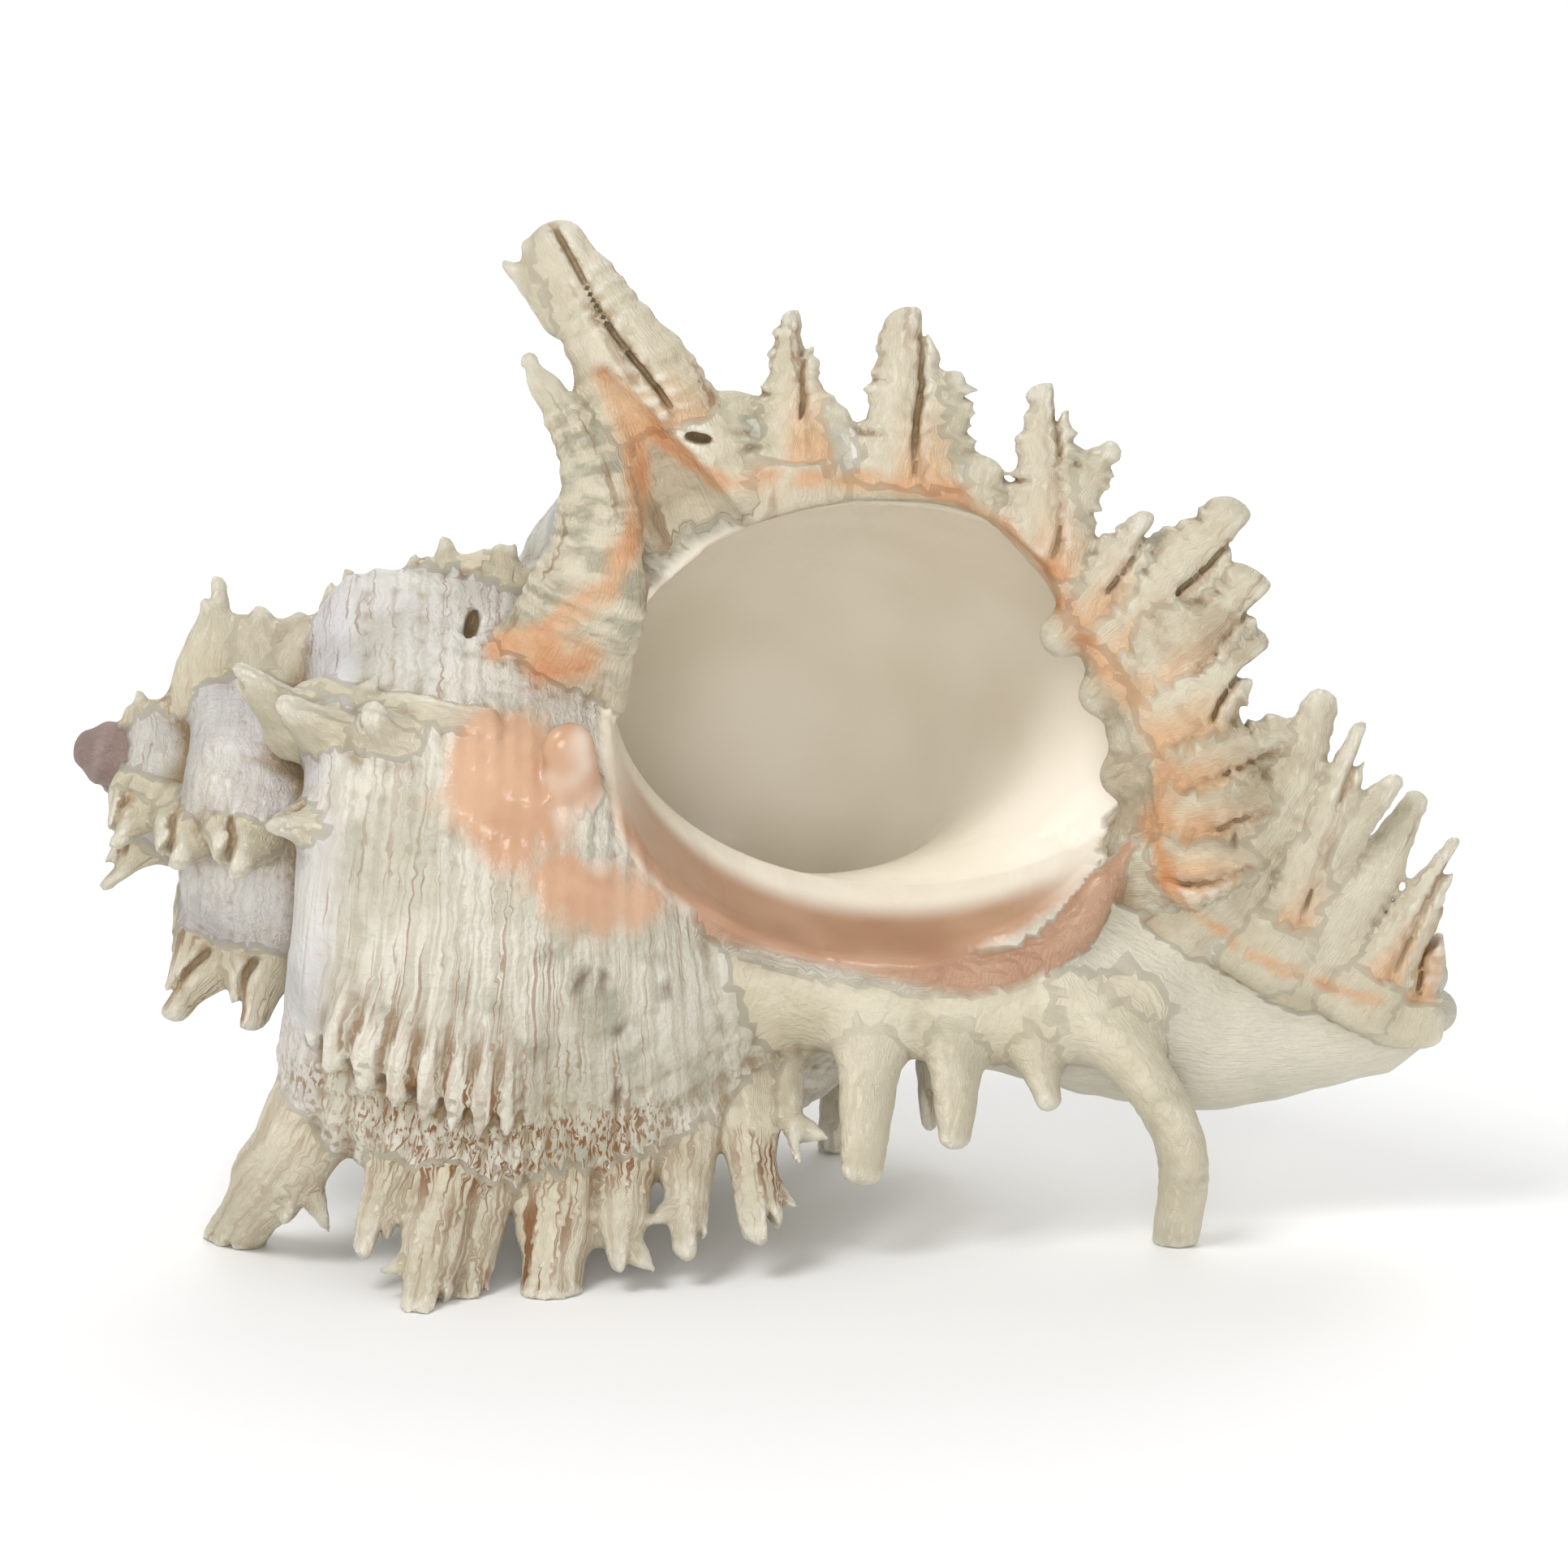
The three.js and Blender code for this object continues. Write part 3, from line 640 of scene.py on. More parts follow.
def carve_trough():
    stops = np.array(TROUGH)
    steps = np.linspace(0, len(stops) - 1, 25)
    rows = np.array([np.interp(steps, range(len(stops)), stops[:, i]) for i in range(4)]).T
    part = window((50, 36, 2), (88, 72, 24))
    along, up, front = places(part)
    form = FAR
    for a, u, f, radius in rows:
        ball = np.sqrt((along - a) ** 2 + (up - u) ** 2 + (front - f) ** 2) - radius
        form = np.minimum(form, ball)
    carve(part, form, 1.2)


def carve_mouth():
    """The mouth again, because the fronds must not hang over its edge."""
    part = window((70, 14, 0), (150, 75, 45))
    along, up, front = places(part)
    opened = hollow_form(along, up, front) - MOUTH_BEVEL * np.clip(front - 2, 0, 8)
    wall = whorl_form(along, up, LIP_TURN)[0] + LIP_WALL
    edge = 0.8 * (along - np.interp(up, MOUTH_EDGE[:, 1], MOUTH_EDGE[:, 0]))
    limits = np.maximum(np.maximum(wall, edge), np.maximum(MOUTH_FROM - along, MOUTH_ABOVE - up))
    form = np.maximum(opened, limits).astype(np.float32)
    carve(part, np.clip(form, -FAR, FAR), MOUTH_SOFT)


for number, (path, wide, slit, ruffle, serrated) in enumerate(LIP_FRONDS):
    frond(path, wide, flattened(wide, 0.62), FRONT, slit, ruffle, soft=2.2,
          seed=number + 20, flare=0.3, serrated=serrated, even=number < 3)
carve_mouth()
frond(RIM, [3.0, 2.8], [3.6, 3.2], FRONT, ruffle=0.1, soft=2.6)
for base, tip in NODULES:
    frond([base, tip], [3.0, 2.6], [2.8, 2.4], FRONT, soft=2.0)
carve_trough()
print(len(LIP_FRONDS), "fronds on the lip")

# %% [markdown]
# ## Spines of the older varices
# The same spines stood on every lip before this one. Two rows are still tall:
# one hangs under the shell in front, and one reaches down behind. The shell
# rests on their worn tips.

# %% Varix spines
FRONT_VARIX = (-215, [
    # along, reach, slide, swing, half width
    (45, 60, -9, 27, [6.4, 4]), (47, 54, -4, 12, [3.6, 2]), (55, 59, -1, 0, [4.6, 1.8]),
    (62, 68, 1, -3, [5.4, 3.2]), (67, 63, 2, 0, [3.6, 2]), (76, 62, 3, 0, [5.8, 4]),
    (84, 54, 3, -4, [4.6, 2]), (91, 50, 4, -4, [4.6, 2]), (97, 45, 7, -4, [4.4, 2.6]),
    (101, 35, 6, -8, [2.6, 1]),
])
BACK_VARIX = (-105, [
    (52, 74, -10, -30, [7, 2.6]), (61, 61, -3, -10, [4.2, 1.6]), (71, 66, 0, -14, [6.4, 2.2]),
    (81, 60, 2, -10, [4.4, 1.6]), (91, 64, 3, -18, [6, 2.2]), (101, 52, 4, -14, [4.4, 1.6]),
    (110, 57, 6, -36, [6, 2.4]), (120, 42, 7, -30, [4.6, 1.8]),
])
SHOULDER, NARROWEST, ROOT = 3, 9, 5
BEND, SLIDE = 0.3, 0.45


def surface_out(turn, along):
    """How far out the plain whorl reaches there."""
    size = size_at(turn)
    rows = OUTLINE[SHOULDER + 1:]
    wanted = max(along / size, rows[0][1])
    return max(np.interp(wanted, rows[:, 1], rows[:, 0]) * size, NARROWEST)


def varix_fronds(row, seed):
    turn, spines = row
    angle = math.radians(turn)
    open_way = np.array([0, -math.sin(angle), math.cos(angle)])
    for number, (along, reach, slide, swing, wide) in enumerate(spines):
        base = surface_out(turn, along) - ROOT
        path = [
            around(turn, base, along),
            around(turn + swing * BEND, (base + reach) / 2, along + slide * SLIDE),
            around(turn + swing, reach, along + slide),
        ]
        frond(path, wide, flattened(wide, 0.75), open_way, 0.14, 0.07, 1, soft=2.2,
              seed=seed + number)


varix_fronds(FRONT_VARIX, 60)
varix_fronds(BACK_VARIX, 80)
print(len(FRONT_VARIX[1]), "spines in front and", len(BACK_VARIX[1]), "behind")

# %% [markdown]
# ## Spines and scales of the spire
# The young shell had small varices. Their spines are worn, and in front they
# are flat frilled scales that lie over each other.

# %% Spire
SPIRE_FRONDS = [
    # base, tip, half width
    ([17, 11, 2], [13.2, 26, -1], [4.6, 1.6]), ([21, 14, 2], [20, 23.5, 0], [3.6, 2]),
    ([26, 15, 2], [26.5, 23.5, 0], [4, 2]), ([31, 16, -10], [29.5, 29, -15], [4.2, 1.4]),
    ([36, 20, -10], [35, 28.5, -14], [3.4, 1.2]), ([44, 26, -2], [41.7, 38, -4], [5, 1.8]),
    ([52, 28, 0], [49.5, 38.5, -3], [5, 2.4]), ([8, 3.5, 1], [6.5, 9.5, 1], [2.6, 1]),
    ([12, 5, 1], [13.5, 11.5, 1], [3, 1.4]), ([28, -14, 4], [21.5, -30, 5], [5.4, 2.8]),
    ([31, -16, 6], [31.5, -27.5, 8], [5.6, 3.4]), ([21, -15, 2], [19, -23, 2], [2.4, 0.8]),
    ([13, -7, 2], [8.5, -16, 3], [3.6, 1.6]), ([12, -2, 8], [9, -7, 15], [4, 2]),
    ([18, -2, 11], [17, -6, 20], [4.6, 2.6]), ([25, 0, 14], [25, -4, 25], [5, 3]),
    ([31, 14, 19], [20, 21, 25], [5, 1.4]), ([36, 14, 23], [27, 19, 30], [4.6, 2]),
    ([43, 15, 25], [38, 21, 33], [5, 2.4]), ([37, 4, 25], [29, 4, 33.5], [5, 1.4]),
]

for number, (base, tip, wide) in enumerate(SPIRE_FRONDS):
    open_way = np.cross(np.subtract(tip, base), [1, 0, 0])
    frond([base, tip], wide, flattened(wide, 0.7), open_way, 0.12, 0.14, soft=2.2,
          seed=100 + number, flare=0.25)

# Webs join some of the spines into crests: path, half height, half thickness.
WEBS = [
    ([[15, 15, 0], [21, 18, 0], [27, 18, 0], [33, 16, 0]], [5, 3], [1.9, 1.5]),
    ([[31, 22, -9], [37, 26, -6], [44, 31, -3], [51, 33.5, -2], [58, 33, -1]], [5, 4.5], [2.4, 2]),
    ([[30, 17, 18], [37, 19, 24], [45, 21, 27], [53, 22, 27]], [3.2, 2.4], [2.2, 1.6]),
]
for number, (path, high, thin) in enumerate(WEBS):
    frond(path, high, thin, FRONT, 0, 0.16, 2, soft=2.6, seed=140 + number)
print(len(SPIRE_FRONDS), "fronds on the spire and", len(WEBS), "webs")

# %% [markdown]
# ## Two dark holes and flat feet
# Two small dark holes go into the shell, one beside the foot of the horn and
# one at the notch above the mouth. Each is an ellipsoid taken out of the clay.
# The shell lies on its side, and the tips that touch the ground are worn. They
# are cut flat, at the same height as in the solid.

# %% Two holes and the cut at the ground
GROUND = VOXEL * 0.05


def cut_ground():
    part = window(LOW, HIGH)
    along, up, front = places(part)
    height = APEX[2] + along * CANALWARD[2] + up * LIPWARD[2] + 0 * front
    below = np.broadcast_to(GROUND - height, COUNT).astype(np.float32)
    np.maximum(distance, below, out=distance)


def carve_hole(centre, radius):
    part = window(np.subtract(centre, radius) - 2, np.add(centre, radius) + 2)
    along, up, front = places(part)
    form = ellipse_form(along - centre[0], up - centre[1], radius[0], radius[1],
                        front - centre[2], radius[2])
    carve(part, form, 0.2)


carve_hole((48, 31, 8), (1.0, 2.4, 5))
carve_hole((71, 63, 12), (2.0, 0.8, 4))
cut_ground()
print("cells inside, all:", int((distance < 0).sum()))

# %% [markdown]
# ## From the grid to a mesh
# The surface is where the distance passes zero. The mesh of it is even and
# has too many faces, so Decimate takes out those that the form doesn't need.

# %% Make the mesh
FACES = 190_000


def make_mesh():
    grid = openvdb.FloatGrid(FAR)
    grid.copyFromArray(distance)
    points, quads = grid.convertToQuads(isovalue=0.0)
    points = np.asarray(points, float) * VOXEL + LOW
    world = APEX + points[:, :1] * CANALWARD + points[:, 1:2] * LIPWARD + points[:, 2:] * FRONTWARD
    mesh = bpy.data.meshes.new("shell_fine")
    mesh.from_pydata((world * MM).tolist(), [], np.asarray(quads)[:, ::-1].tolist())
    piece = bpy.data.objects.new("shell_fine", mesh)
    bpy.context.collection.objects.link(piece)
    return piece


def thin_out(piece):
    thinner = piece.modifiers.new("Decimate", "DECIMATE")
    thinner.ratio = min(1, FACES / (2 * len(piece.data.polygons)))
    ready = piece.evaluated_get(bpy.context.evaluated_depsgraph_get())
    mesh = bpy.data.meshes.new_from_object(ready)
    mesh.validate()
    piece.modifiers.clear()
    piece.data = mesh
    mesh.name = "shell_fine"
    mesh.shade_smooth()


shell = make_mesh()
print("even mesh:", len(shell.data.polygons), "quads")
thin_out(shell)
print("thinned:", len(shell.data.polygons), "triangles")

# %% [markdown]
# ## Marks for the paint
# The paint needs to know what each point of the surface is: inside or
# outside, old or new, ridge or groove, and where on its spine. We read that
# from the grid once and keep it on the mesh as attributes, which the material
# then uses like any other number.

# %% Read the grid at the surface
FINE, BROAD = 1.2, 4.2
corners = np.empty(len(shell.data.vertices) * 3, np.float32)
shell.data.vertices.foreach_get("co", corners)
corners = corners.reshape(-1, 3) / MM - APEX
along, up, front = (corners @ way for way in (CANALWARD, LIPWARD, FRONTWARD))
spot = np.stack([along, up, front], -1)
index = tuple(np.clip(np.rint((spot - LOW) / VOXEL).astype(int), 0, COUNT - 1).T)


def read_smooth(grid):
    """The grid's value between its cells."""
    place = np.clip((spot - LOW) / VOXEL, 0, COUNT - 1.001)
    low = place.astype(int)
    t = place - low
    total = 0
    for corner in np.ndindex(2, 2, 2):
        weight = np.prod(np.where(np.array(corner) == 1, t, 1 - t), axis=1)
        total = total + weight * grid[tuple((low + corner).T)]
    return total


def blurred(grid, radius):
    """Each cell's mean over a small cube."""
    cells = max(1, round(radius / VOXEL))
    for axis in range(3):
        total = np.cumsum(np.moveaxis(grid, axis, 0), axis=0, dtype=np.float64)
        wide = np.empty_like(total)
        wide[cells:-cells] = total[2 * cells:] - np.concatenate(
            [np.zeros((1, *total.shape[1:])), total[:-2 * cells - 1]])
        wide[:cells] = total[cells - 1:cells]
        wide[-cells:] = wide[-cells - 1:-cells]
        grid = np.moveaxis((wide / (2 * cells + 1)).astype(np.float32), 0, axis)
    return grid


# The blurred distance is below zero in grooves and hollows and above zero on ridges: the paint puts
# painted shade in the first and a painted highlight on the second.
near_surface = np.clip(distance, -2.5, 2.5)
fine_relief = read_smooth(blurred(near_surface, FINE))
broad_relief = read_smooth(blurred(near_surface, BROAD))
kinds = owner[index]
grown, striped = growth[index], stripe[index]
print("ridges and grooves:", np.percentile(fine_relief, [5, 50, 95]).round(2),
      np.percentile(broad_relief, [5, 50, 95]).round(2))

# %% [markdown]
# ## Where each colour goes
# Some colours follow from the growth, such as the lilac of the old spire.
# Others are seen in the photo, such as the orange edge of the mouth. They are
# drawn as curves and ellipsoids, with ragged borders that don't look cut out.

# %% Patches and lines
def patch(centre, radius, edge=0.3, kept=True):
    """1 inside an ellipsoid of the shell's frame, fading to 0 at its edge."""
    away = np.sqrt((((spot - centre) / radius) ** 2).sum(-1))
    ragged = 0.12 * waves(along, up, front, 9, 31) + 0.06 * waves(along, up, front, 4, 32)
    return (1 - smooth(1 - edge, 1, away + ragged)) * kept


EDGE_LINES = [
    # the curve as along and up, then how wide the orange reaches
    ([(57, 68), (61, 63), (64.5, 58), (65.5, 49), (64, 42), (58, 34), (52, 30)], 2.0),
    ([(57.4, 68.2), (65, 62.2), (75.4, 57.6)], 1.6),
    ([(75.4, 57.6), (83.7, 60.6), (94.5, 62.7), (105.6, 63.8), (112.5, 61), (120.2, 57.3)], 1.4),
    ([(120.2, 57.3), (124.8, 50.5), (133, 44.6), (138.9, 39.3), (142.7, 33.4), (142, 26.5)], 1.9),
    ([(142, 26.5), (147, 19), (156, 14.5), (166, 12), (178, 11)], 1.0),
]
# Centres of small pits, darkened by painted shade; the pits are not carved.
PITS = [(72.6, -6.2, 30), (75.5, -6, 30), (78.9, -12.4, 28), (81, -21.5, 26), (84, -6.5, 28)]


def near_line(line, width):
    """1 beside a curve on the front of the shell, fading to 0 at the width."""
    stops = np.array(line, float)
    steps = np.linspace(0, len(stops) - 1, 12 * len(stops))
    curve = [np.interp(steps, range(len(stops)), stops[:, i]) for i in range(2)]
    nearest = np.full(len(along), FAR * 9)
    for a, u in zip(*curve):
        nearest = np.minimum(nearest, (along - a) ** 2 + (up - u) ** 2)
    ragged = 0.5 * waves(along, up, front, 7, 41)
    return (1 - smooth(0.4 * width, 1.3 * width, np.sqrt(nearest) + ragged)) * (front > 0)


print(len(EDGE_LINES), "orange edges and", len(PITS), "pits")

# %% [markdown]
# ## The marks one by one
# Most marks are numbers from 0 to 1, one for each corner of the mesh. Each is
# a product of a few soft steps, which is easy to read and to change.

# %% Marks on the mesh
hollow = hollow_form(along, up, front)
inside = 1 - smooth(0.6, 2.2, hollow)
inside = inside * (kinds != SPINE)
turns = np.where(kinds == WHORL, grown, 0)
old = np.where(kinds == WHORL, smooth(-250, -420, turns), 0)
callus = patch((58, 16, 30), (15, 16, 17), 0.7, front > 5)
callus = np.maximum(callus, patch((70, 4, 28), (15, 9, 15), 0.7, front > 5)) * (1 - inside)
callus = np.maximum(callus, (kinds == CALLUS) * (1 - smooth(68, 80, along)))
ramp = inside * (1 - smooth(12, 22, up)) * smooth(60, 74, along)
ramp = np.maximum(ramp, (kinds == CALLUS) * smooth(68, 80, along) * smooth(-1, 1.5, up))
# Painted shade on the spines. It is strongest on the crowd of fronds by the canal, where they stand
# close together.
frond_shade = (kinds == SPINE) * (patch((144, 38, 10), (19, 30, 20), 0.5) * 0.8 + 0.2)
horn = (kinds == SPINE) * patch((60, 46, 12), (15, 27, 16), 0.3)
shoulder = (1 - smooth(60, 70, along / size_at(turns))) * (kinds == WHORL) * (turns > -420)
lined = (kinds == SPINE) * (up < -24) * (front > 4)
orange = np.maximum(patch((60, 31, 20), (8, 5, 14), 0.5), patch((38, 0, 26), (3, 4, 9), 0.5) * 0.7)
for line, width in EDGE_LINES:
    orange = np.maximum(orange, near_line(line, width))
orange = np.maximum(orange, 0.9 * patch((134, 46, 9), (4, 4, 6), 0.6))
folded_side = (kinds == SPINE) * (striped < 1.2) * (along > 50)
from_fold = np.abs(striped - FOLD_PLACE)
glow = folded_side * (1 - smooth(0.25, 0.8, from_fold)) * (1 - smooth(9, 22, grown))
pits = np.zeros(len(along))
# Painted shade: dark spots where the small pits stand.
for centre in PITS:
    pits = np.maximum(pits, patch(centre, (0.9, 2.3, 16), 0.6, front > 0))

curtain = ledge(along, turns, striped)[0] * (kinds == WHORL)
mesh_zone = smooth(-232, -227, turns) * (1 - smooth(-208, -203, turns)) * (kinds == WHORL)
# Brown along the fold of each spine, which also serves as painted shade of a slit too narrow for
# the mesh.
fold = (kinds == SPINE) * (1 - smooth(0.03, 0.14, from_fold)) * (grown > 2)

marks = {
    "glow": glow, "pits": pits, "ramp": ramp, "horn": horn, "frond_shade": frond_shade, "shoulder": shoulder,
    "lined": lined * 1.0, "curtain": curtain, "mesh_zone": mesh_zone, "fold": fold,
    "inside": inside, "callus": callus, "old": old, "orange": orange,
    "spine": ((kinds == SPINE) | (kinds == PLAIN)) * 1.0, "plain": (kinds == PLAIN) * 1.0,
    "canal": (kinds == CANAL) * 1.0, "knob": (kinds == KNOB) * 1.0, "growth": grown,
    "stripe": striped, "ridge": fine_relief, "swell": broad_relief,
}
for name, values in marks.items():
    mark = shell.data.attributes.new(name, "FLOAT", "POINT")
    mark.data.foreach_set("value", np.ascontiguousarray(values, np.float32))
    print(f"{name}: mean {values.mean():.2f}")

# %% [markdown]
# ## The finish
# Outside, the shell is chalky and dull: cream beside grey-green, with painted
# shade in the grooves and hollows, a painted highlight on the ridges, lilac on
# the old spire, and thin brown lines that run along the cords and down the
# spines. Inside, where the animal lived, it is smooth porcelain. The inner lip
# is peach and glossy, and the newest edge is orange. One material mixes these
# by the marks, from chalk up to gloss.

# %% Helpers for the material
ACROSS_SRGB = 2.2


def tint(red, green, blue):
    """A colour as seen on screen, 0 to 255, for a socket that wants light."""
    return (*((v / 255) ** ACROSS_SRGB for v in (red, green, blue)), 1)


def new_material(name):
    material = bpy.data.materials.new(name)
    material.use_nodes = True
    material.node_tree.nodes.clear()
    return material


finish_material = new_material("shell chalk and porcelain")
nodes = finish_material.node_tree.nodes
links = finish_material.node_tree.links


def put(target, value):
    """Sets a socket, or links it when the value is another socket."""
    if isinstance(value, bpy.types.NodeSocket):
        links.new(value, target)
    else:
        target.default_value = value


def mark_of(name):
    node = nodes.new("ShaderNodeAttribute")
    node.attribute_type = "GEOMETRY"
    node.attribute_name = name
    return node.outputs["Fac"]


def sums(operation, *values, clamp=False):
    node = nodes.new("ShaderNodeMath")
    node.operation = operation
    node.use_clamp = clamp
    for socket, value in zip(node.inputs, values):
        put(socket, value)
    return node.outputs[0]


def product(first, second, clamp=False):
    return sums("MULTIPLY", first, second, clamp=clamp)


def step(value, low, high, to_low=0.0, to_high=1.0):
    """A soft step of a socket's value."""
    node = nodes.new("ShaderNodeMapRange")
    node.interpolation_type = "SMOOTHSTEP"
    for name, given in (("Value", value), ("From Min", low), ("From Max", high),
                        ("To Min", to_low), ("To Max", to_high)):
        put(node.inputs[name], given)
    return node.outputs[0]


def mixed(amount, under, over):
    node = nodes.new("ShaderNodeMix")
    node.data_type = "RGBA"
    put(node.inputs["Factor"], amount)
    put(node.inputs["A"], under)
    put(node.inputs["B"], over)
    return node.outputs["Result"]


place = nodes.new("ShaderNodeTexCoord").outputs["Object"]


def cloud(scale, detail=3.0, rough=0.55, where=None):
    """Noise: scale is in lumps per metre when it is read in the object's place."""
    node = nodes.new("ShaderNodeTexNoise")
    put(node.inputs["Vector"], where or place)
    put(node.inputs["Scale"], scale)
    put(node.inputs["Detail"], detail)
    put(node.inputs["Roughness"], rough)
    return node.outputs["Fac"]


def blots(scale, low, high, first, second, detail=3.0):
    """Two tints in soft blots."""
    return mixed(step(cloud(scale, detail), low, high), tint(*first), tint(*second))


print("helpers ready")

# %% [markdown]
# ## From marks to sockets
# A material reads a mark by its name, in an Attribute node. Noise that is read
# by growth and stripe, not by place, is drawn out along the cords and down the
# spines, as the brown lines of the shell are.

# %% Marks as sockets
of = {name: mark_of(name) for name in marks}
bare = sums("SUBTRACT", 1.0, sums("MAXIMUM", of["inside"], of["callus"]), clamp=True)


def grain(across_scale, along_scale, detail=2.0):
    """Noise drawn out along the growth: many lines across, few changes along."""
    node = nodes.new("ShaderNodeCombineXYZ")
    put(node.inputs["X"], product(of["stripe"], across_scale))
    put(node.inputs["Y"], product(of["growth"], along_scale))
    put(node.inputs["Z"], product(cloud(30.0, 1.0), 1.5))
    return cloud(1.0, detail, 0.5, node.outputs[0])


print(len(nodes), "nodes after the sockets")

# %% [markdown]
# ## The chalky outside
# Cream lies beside grey-green and lilac, in blots of a few millimetres. We lay
# one tint over another, each through noise of its own size. Painted shade lies
# along the cords and over the crowded fronds.

# %% Chalky outside
chalk = blots(55.0, 0.4, 0.65, (205, 200, 186), (184, 179, 160))
chalk = mixed(step(cloud(140.0, 4.0), 0.5, 0.72), chalk, tint(156, 154, 136))
chalk = mixed(product(of["spine"], 0.6), chalk, tint(197, 186, 158))
bands = product(step(grain(1.2, 0.45, 4.0), 0.42, 0.66), of["horn"])
chalk = mixed(product(bands, 0.7), chalk, tint(134, 131, 110))
# Painted shade: grey lines along the cords of the whorls.
shaded = product(step(grain(30.0, 0.03), 0.44, 0.62), 0.5)
shaded = product(shaded, sums("SUBTRACT", 1.0, of["spine"]))
chalk = mixed(shaded, chalk, tint(158, 150, 130))
# Painted shade, mottled, over the crowded fronds.
frond_shade_blots = product(step(cloud(150.0, 4.0), 0.38, 0.6), of["frond_shade"])
chalk = mixed(product(frond_shade_blots, 0.7), chalk, tint(158, 140, 112))
lilac = blots(60.0, 0.4, 0.6, (204, 201, 204), (176, 171, 170))
lilac_zone = sums("MAXIMUM", of["old"], of["shoulder"])
lilac_amount = product(lilac_zone, step(cloud(30.0), 0.35, 0.6))
chalk = mixed(product(lilac_amount, 0.8), chalk, lilac)
print(len(nodes), "nodes after the chalk")

# %% [markdown]
# ## Brown lines, painted shade and painted highlight
# The animal laid down thin brown lines while it grew. Over them lies painted
# shade in the grooves, hollows, slits and small pits, and a painted highlight on
# the ridges. The shade in grooves and hollows and the highlight come from the
# relief marks, so they fit the form.

# %% Brown lines, painted shade and painted highlight
whorl_lines = product(step(grain(46.0, 0.03), 0.57, 0.68), 0.6)
strong_lines = product(step(grain(34.0, 0.05), 0.46, 0.56), of["curtain"])
net_lines = product(step(grain(60.0, 0.6, 3.0), 0.5, 0.6), of["mesh_zone"])
whorl_lines = sums("MAXIMUM", whorl_lines, sums("MAXIMUM", strong_lines, net_lines))
spine_lines = step(grain(3.6, 0.06), 0.58, 0.7)
lower_lines = product(step(grain(6.5, 0.05), 0.5, 0.6), of["lined"])
spine_lines = sums("MAXIMUM", product(spine_lines, 0.7), lower_lines)
lines_mark = mixed(of["spine"], whorl_lines, spine_lines)
patchy = step(cloud(38.0, 2.0), 0.42, 0.58, 0.25, 1.0)
brown_amount = product(product(lines_mark, patchy), bare, clamp=True)
brown_amount = product(brown_amount, sums("SUBTRACT", 1.0, of["plain"]), clamp=True)
chalk = mixed(brown_amount, chalk, tint(122, 82, 46))
OVER_THE_LINES = [
    # where, how strong, tint: warm folds, dark slits (brown and painted shade),
    # painted shade in pits, grooves and hollows, and a painted highlight on ridges
    (of["glow"], 0.55, (206, 146, 92)),
    (of["fold"], 0.5, (140, 100, 62)),
    (of["pits"], 0.75, (84, 56, 36)),
    # painted shade in grooves and hollows, then a painted highlight on the ridges
    (step(of["ridge"], -0.02, -0.30), 0.7, (128, 104, 72)),
    (step(of["swell"], -0.1, -1.1), 0.6, (138, 114, 78)),
    (step(of["ridge"], 0.12, 0.4), 0.55, (226, 221, 206)),
]
for where, strong, over in OVER_THE_LINES:
    chalk = mixed(product(where, strong), chalk, tint(*over))
print(len(nodes), "nodes after the lines")

# %% [markdown]
# ## The inside and the edges
# Porcelain fills the mouth, peach covers the inner lip, and orange lines the
# newest edge. The front border of the rosy band is read from the place itself,
# because the triangles there are too long for a clean one.

# %% Canal, porcelain, peach and orange
canal_tint = blots(45.0, 0.35, 0.7, (202, 197, 178), (180, 176, 158))
chalk = mixed(product(of["canal"], 0.8), chalk, canal_tint)
porcelain = blots(28.0, 0.35, 0.65, (240, 233, 218), (230, 220, 200), detail=2.0)
rosy = blots(50.0, 0.35, 0.65, (180, 143, 116), (162, 122, 96), detail=2.0)
peach = blots(60.0, 0.35, 0.65, (200, 162, 132), (182, 140, 110))
peach = mixed(step(cloud(60.0, 2.0), 0.54, 0.7), peach, tint(226, 212, 196))
orange = blots(110.0, 0.35, 0.65, (190, 124, 76), (204, 162, 122))
paint = mixed(of["inside"], chalk, porcelain)
forward = nodes.new("ShaderNodeSeparateXYZ")
put(forward.inputs[0], place)
band_from, band_full = (APEX[1] - 5) * MM, (APEX[1] - 12) * MM
near_edge = step(forward.outputs["Y"], band_from, band_full)
paint = mixed(product(of["ramp"], near_edge), paint, rosy)
torn = sums("ADD", of["callus"], product(sums("SUBTRACT", cloud(75.0, 4.0), 0.5), 1.2))
paint = mixed(step(torn, 0.15, 0.95), paint, peach)
paint = mixed(product(of["orange"], step(cloud(90.0), 0.3, 0.6, 0.2, 0.85)), paint, orange)
paint = mixed(product(of["knob"], 0.8), paint, tint(122, 96, 92))
print(len(nodes), "nodes after the inside")

# %% [markdown]
# ## The finest grain
# Chalk has pores far smaller than our cells. A bump texture only tilts the
# light, which is enough at that size.

# %% Relief too fine for the mesh
grain_height = product(grain(30.0, 0.5, 3.0), 0.5)
fine_height = sums("ADD", grain_height, product(cloud(700.0, 4.0), 0.5))
fine_height = product(fine_height, step(bare, 0.0, 1.0, 0.06, 1.0))
bump = nodes.new("ShaderNodeBump")
bump.inputs["Strength"].default_value = 0.55
bump.inputs["Distance"].default_value = 0.0012
put(bump.inputs["Height"], fine_height)
print("grain of", round(bump.inputs["Distance"].default_value / MM, 1), "mm at most")

# %% [markdown]
# ## From dull to glossy
# Chalk is dull and porcelain shines, without a sharp border between them. So
# one shader does both, and its roughness follows the marks.

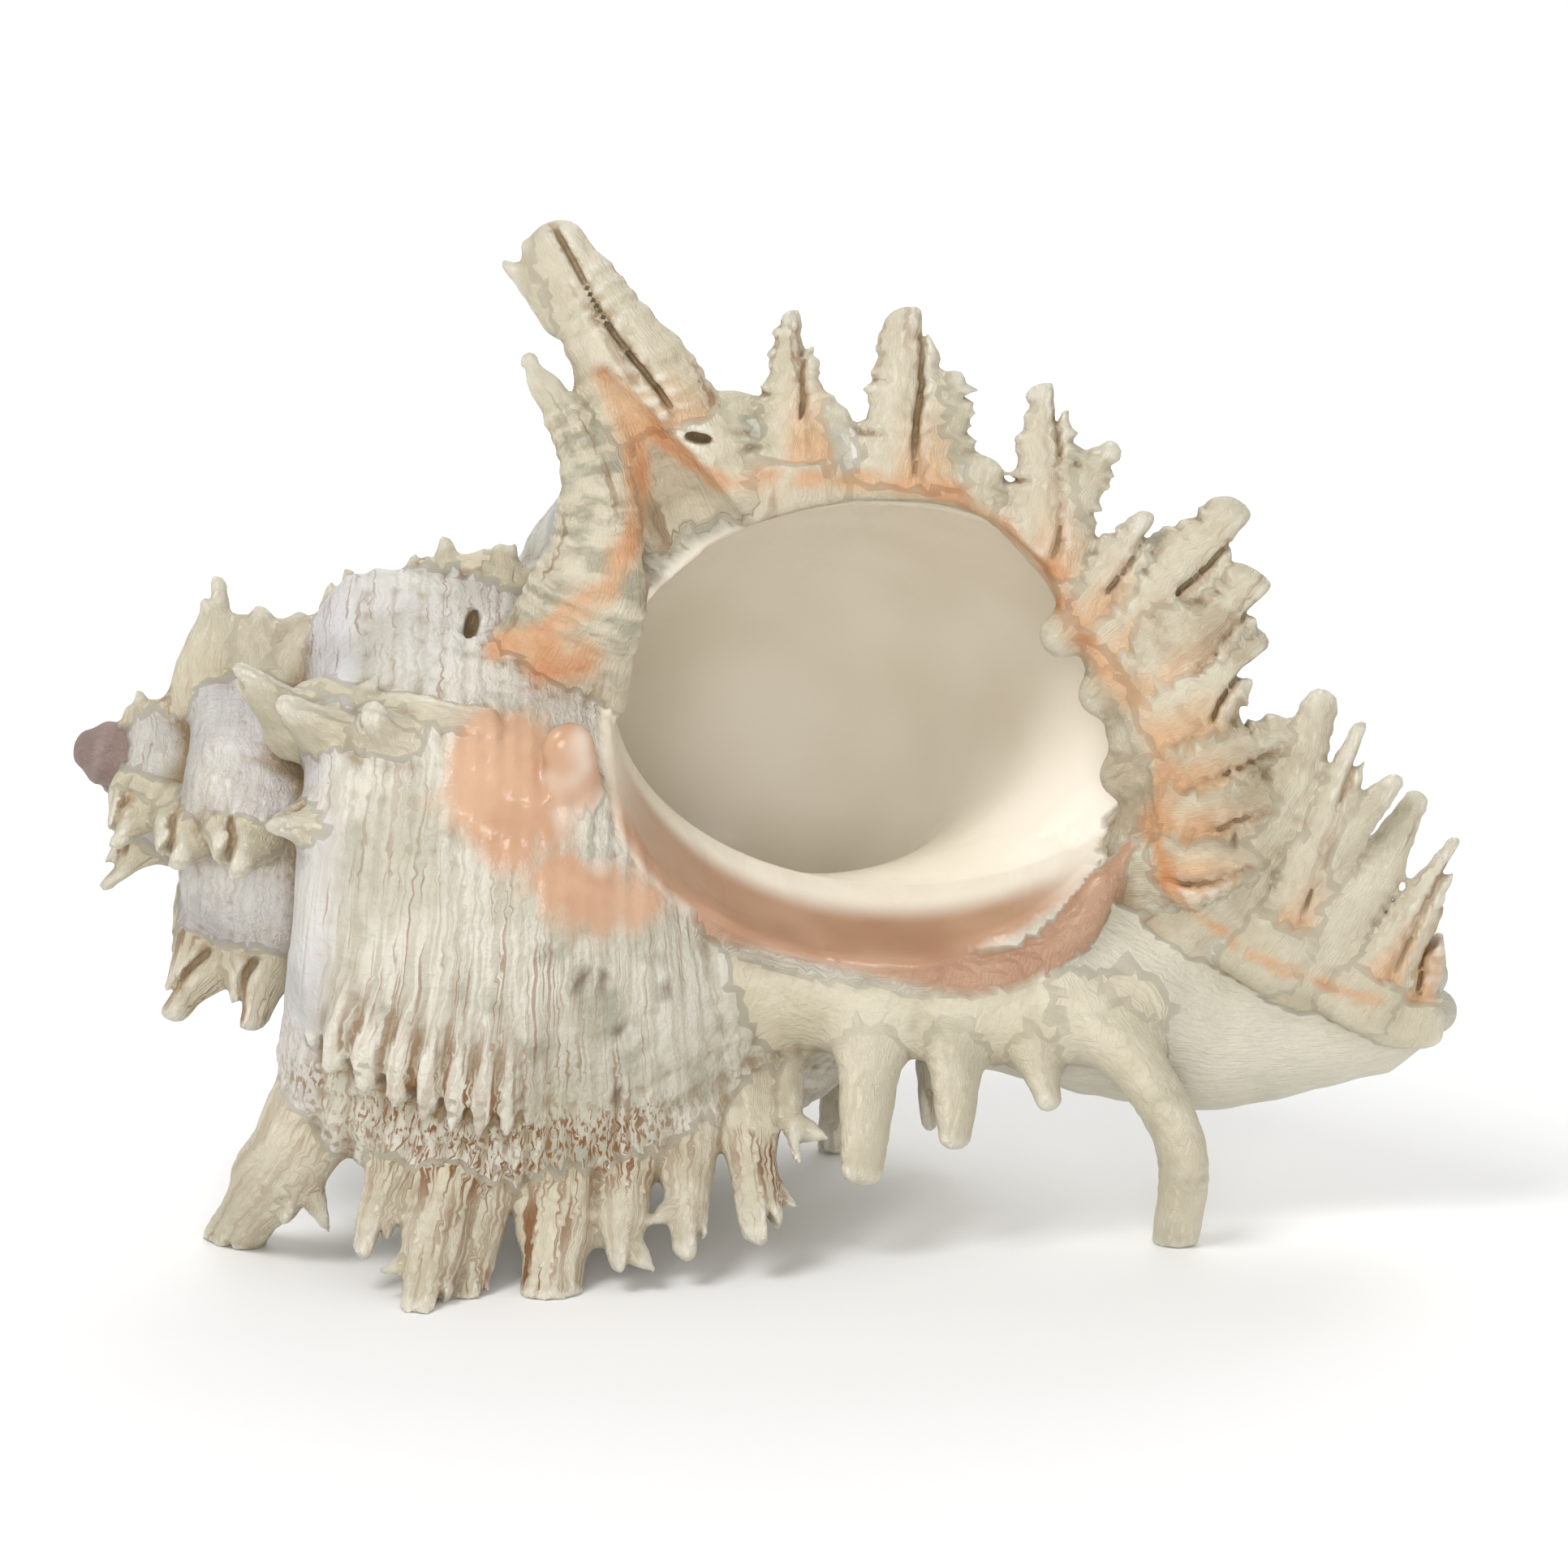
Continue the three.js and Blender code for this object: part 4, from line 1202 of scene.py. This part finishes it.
# %% One shader for all
surface = nodes.new("ShaderNodeBsdfPrincipled")
output = nodes.new("ShaderNodeOutputMaterial")
put(surface.inputs["Base Color"], paint)
put(surface.inputs["Roughness"], step(bare, 0.0, 1.0, 0.2, 0.5))
put(surface.inputs["Normal"], bump.outputs[0])
links.new(surface.outputs[0], output.inputs["Surface"])
shell.data.materials.append(finish_material)
print("material with", len(nodes), "nodes")

# %% [markdown]
# ## In place of the solid
# The fine shell rides on the same body as the CAD solid and replaces it.

# %% Hand the piece to the frame
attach(shell, "root")
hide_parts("shell")
print("the shell takes the solid's place")

# %% [markdown]
# ## The floor
# The photo shows the shell on a pale, plain ground without a horizon. A sheet
# that turns up behind in a wide curve gives that, as studio paper does.

# %% Floor
FLOOR_FRONT, FLOOR_BACK, FLOOR_HALF, FLOOR_TOP = -3.0, 1.2, 4.0, 3.5
CURVE = 0.8
floor_mesh = bpy.data.meshes.new("floor")
rows = [(FLOOR_FRONT, 0.0), (FLOOR_BACK, 0.0)]
for a in np.linspace(0.1, 1.57, 12):
    rows.append((FLOOR_BACK + CURVE * math.sin(a), CURVE - CURVE * math.cos(a)))
rows.append((FLOOR_BACK + CURVE, FLOOR_TOP))
floor_mesh.from_pydata(
    [(x, y, z) for y, z in rows for x in (-FLOOR_HALF, FLOOR_HALF)], [],
    [(2 * i, 2 * i + 1, 2 * i + 3, 2 * i + 2) for i in range(len(rows) - 1)],
)
floor_mesh.shade_smooth()
floor = bpy.data.objects.new("floor", floor_mesh)
bpy.context.collection.objects.link(floor)
paper = bpy.data.materials.new("pale paper")
paper.use_nodes = True
paper_shader = paper.node_tree.nodes["Principled BSDF"]
paper_shader.inputs["Base Color"].default_value = (0.92, 0.92, 0.915, 1)
paper_shader.inputs["Roughness"].default_value = 0.9
floor_mesh.materials.append(paper)
print("floor of", len(floor_mesh.polygons), "faces")

# %% [markdown]
# ## The lights
# The photo has soft light from the front and above, with faint shadows. Large
# square lamps and a white room give that. The last lamp lights the ground far
# behind, so that it stays pale.

# %% Lights
MIDDLE = (0.0026, 0.0, 0.0595)
LIGHTS = [
    # name, place, what it points at, size in metres, watts
    ("key", (-0.5, -0.6, 1.0), MIDDLE, 0.5, 7),
    ("front", (0.0, -1.3, 0.3), MIDDLE, 0.5, 6.3),
    ("fill", (0.9, -0.7, 0.45), MIDDLE, 0.9, 1.0),
    ("rim", (0.2, 0.9, 0.9), MIDDLE, 0.9, 5),
    ("wall", (0, 0.5, 1.6), (0, 2.0, 1.0), 1.6, 14),
]


def aim(place, at):
    """The turn that points a light or a camera from one place at another."""
    return (Vector(place) - Vector(at)).to_track_quat("Z", "Y").to_euler()


for name, stand, at, size, power in LIGHTS:
    lamp = bpy.data.lights.new(name, "AREA")
    lamp.shape = "SQUARE"
    lamp.size = size
    lamp.energy = power
    light = bpy.data.objects.new(name, lamp)
    light.location = stand
    light.rotation_euler = aim(stand, at)
    bpy.context.collection.objects.link(light)
world = bpy.data.worlds.new("soft room")
world.use_nodes = True
world.node_tree.nodes["Background"].inputs["Color"].default_value = (1, 1, 1, 1)
world.node_tree.nodes["Background"].inputs["Strength"].default_value = 0.5
bpy.context.scene.world = world
bpy.context.scene.view_settings.view_transform = "Standard"
print(len(LIGHTS), "soft lights and a white room")

# %% [markdown]
# ## The camera
# It looks a little down, as in the photo, from so far away that the shell shows
# little perspective. The lens follows from the width to be seen there.

# %% Camera
CAMERA_DISTANCE = 0.9
CAMERA_UP = math.radians(12)
FRAME_WIDTH = 0.2125
SENSOR = 36.0
lens = bpy.data.cameras.new("camera")
lens.sensor_width = SENSOR
lens.lens = SENSOR * CAMERA_DISTANCE / FRAME_WIDTH
camera = bpy.data.objects.new("camera", lens)
camera.location = MIDDLE + CAMERA_DISTANCE * np.array(
    [0, -math.cos(CAMERA_UP), math.sin(CAMERA_UP)])
camera.rotation_euler = aim(camera.location, MIDDLE)
bpy.context.collection.objects.link(camera)
bpy.context.scene.camera = camera
print("lens of", round(lens.lens, 1), "mm")
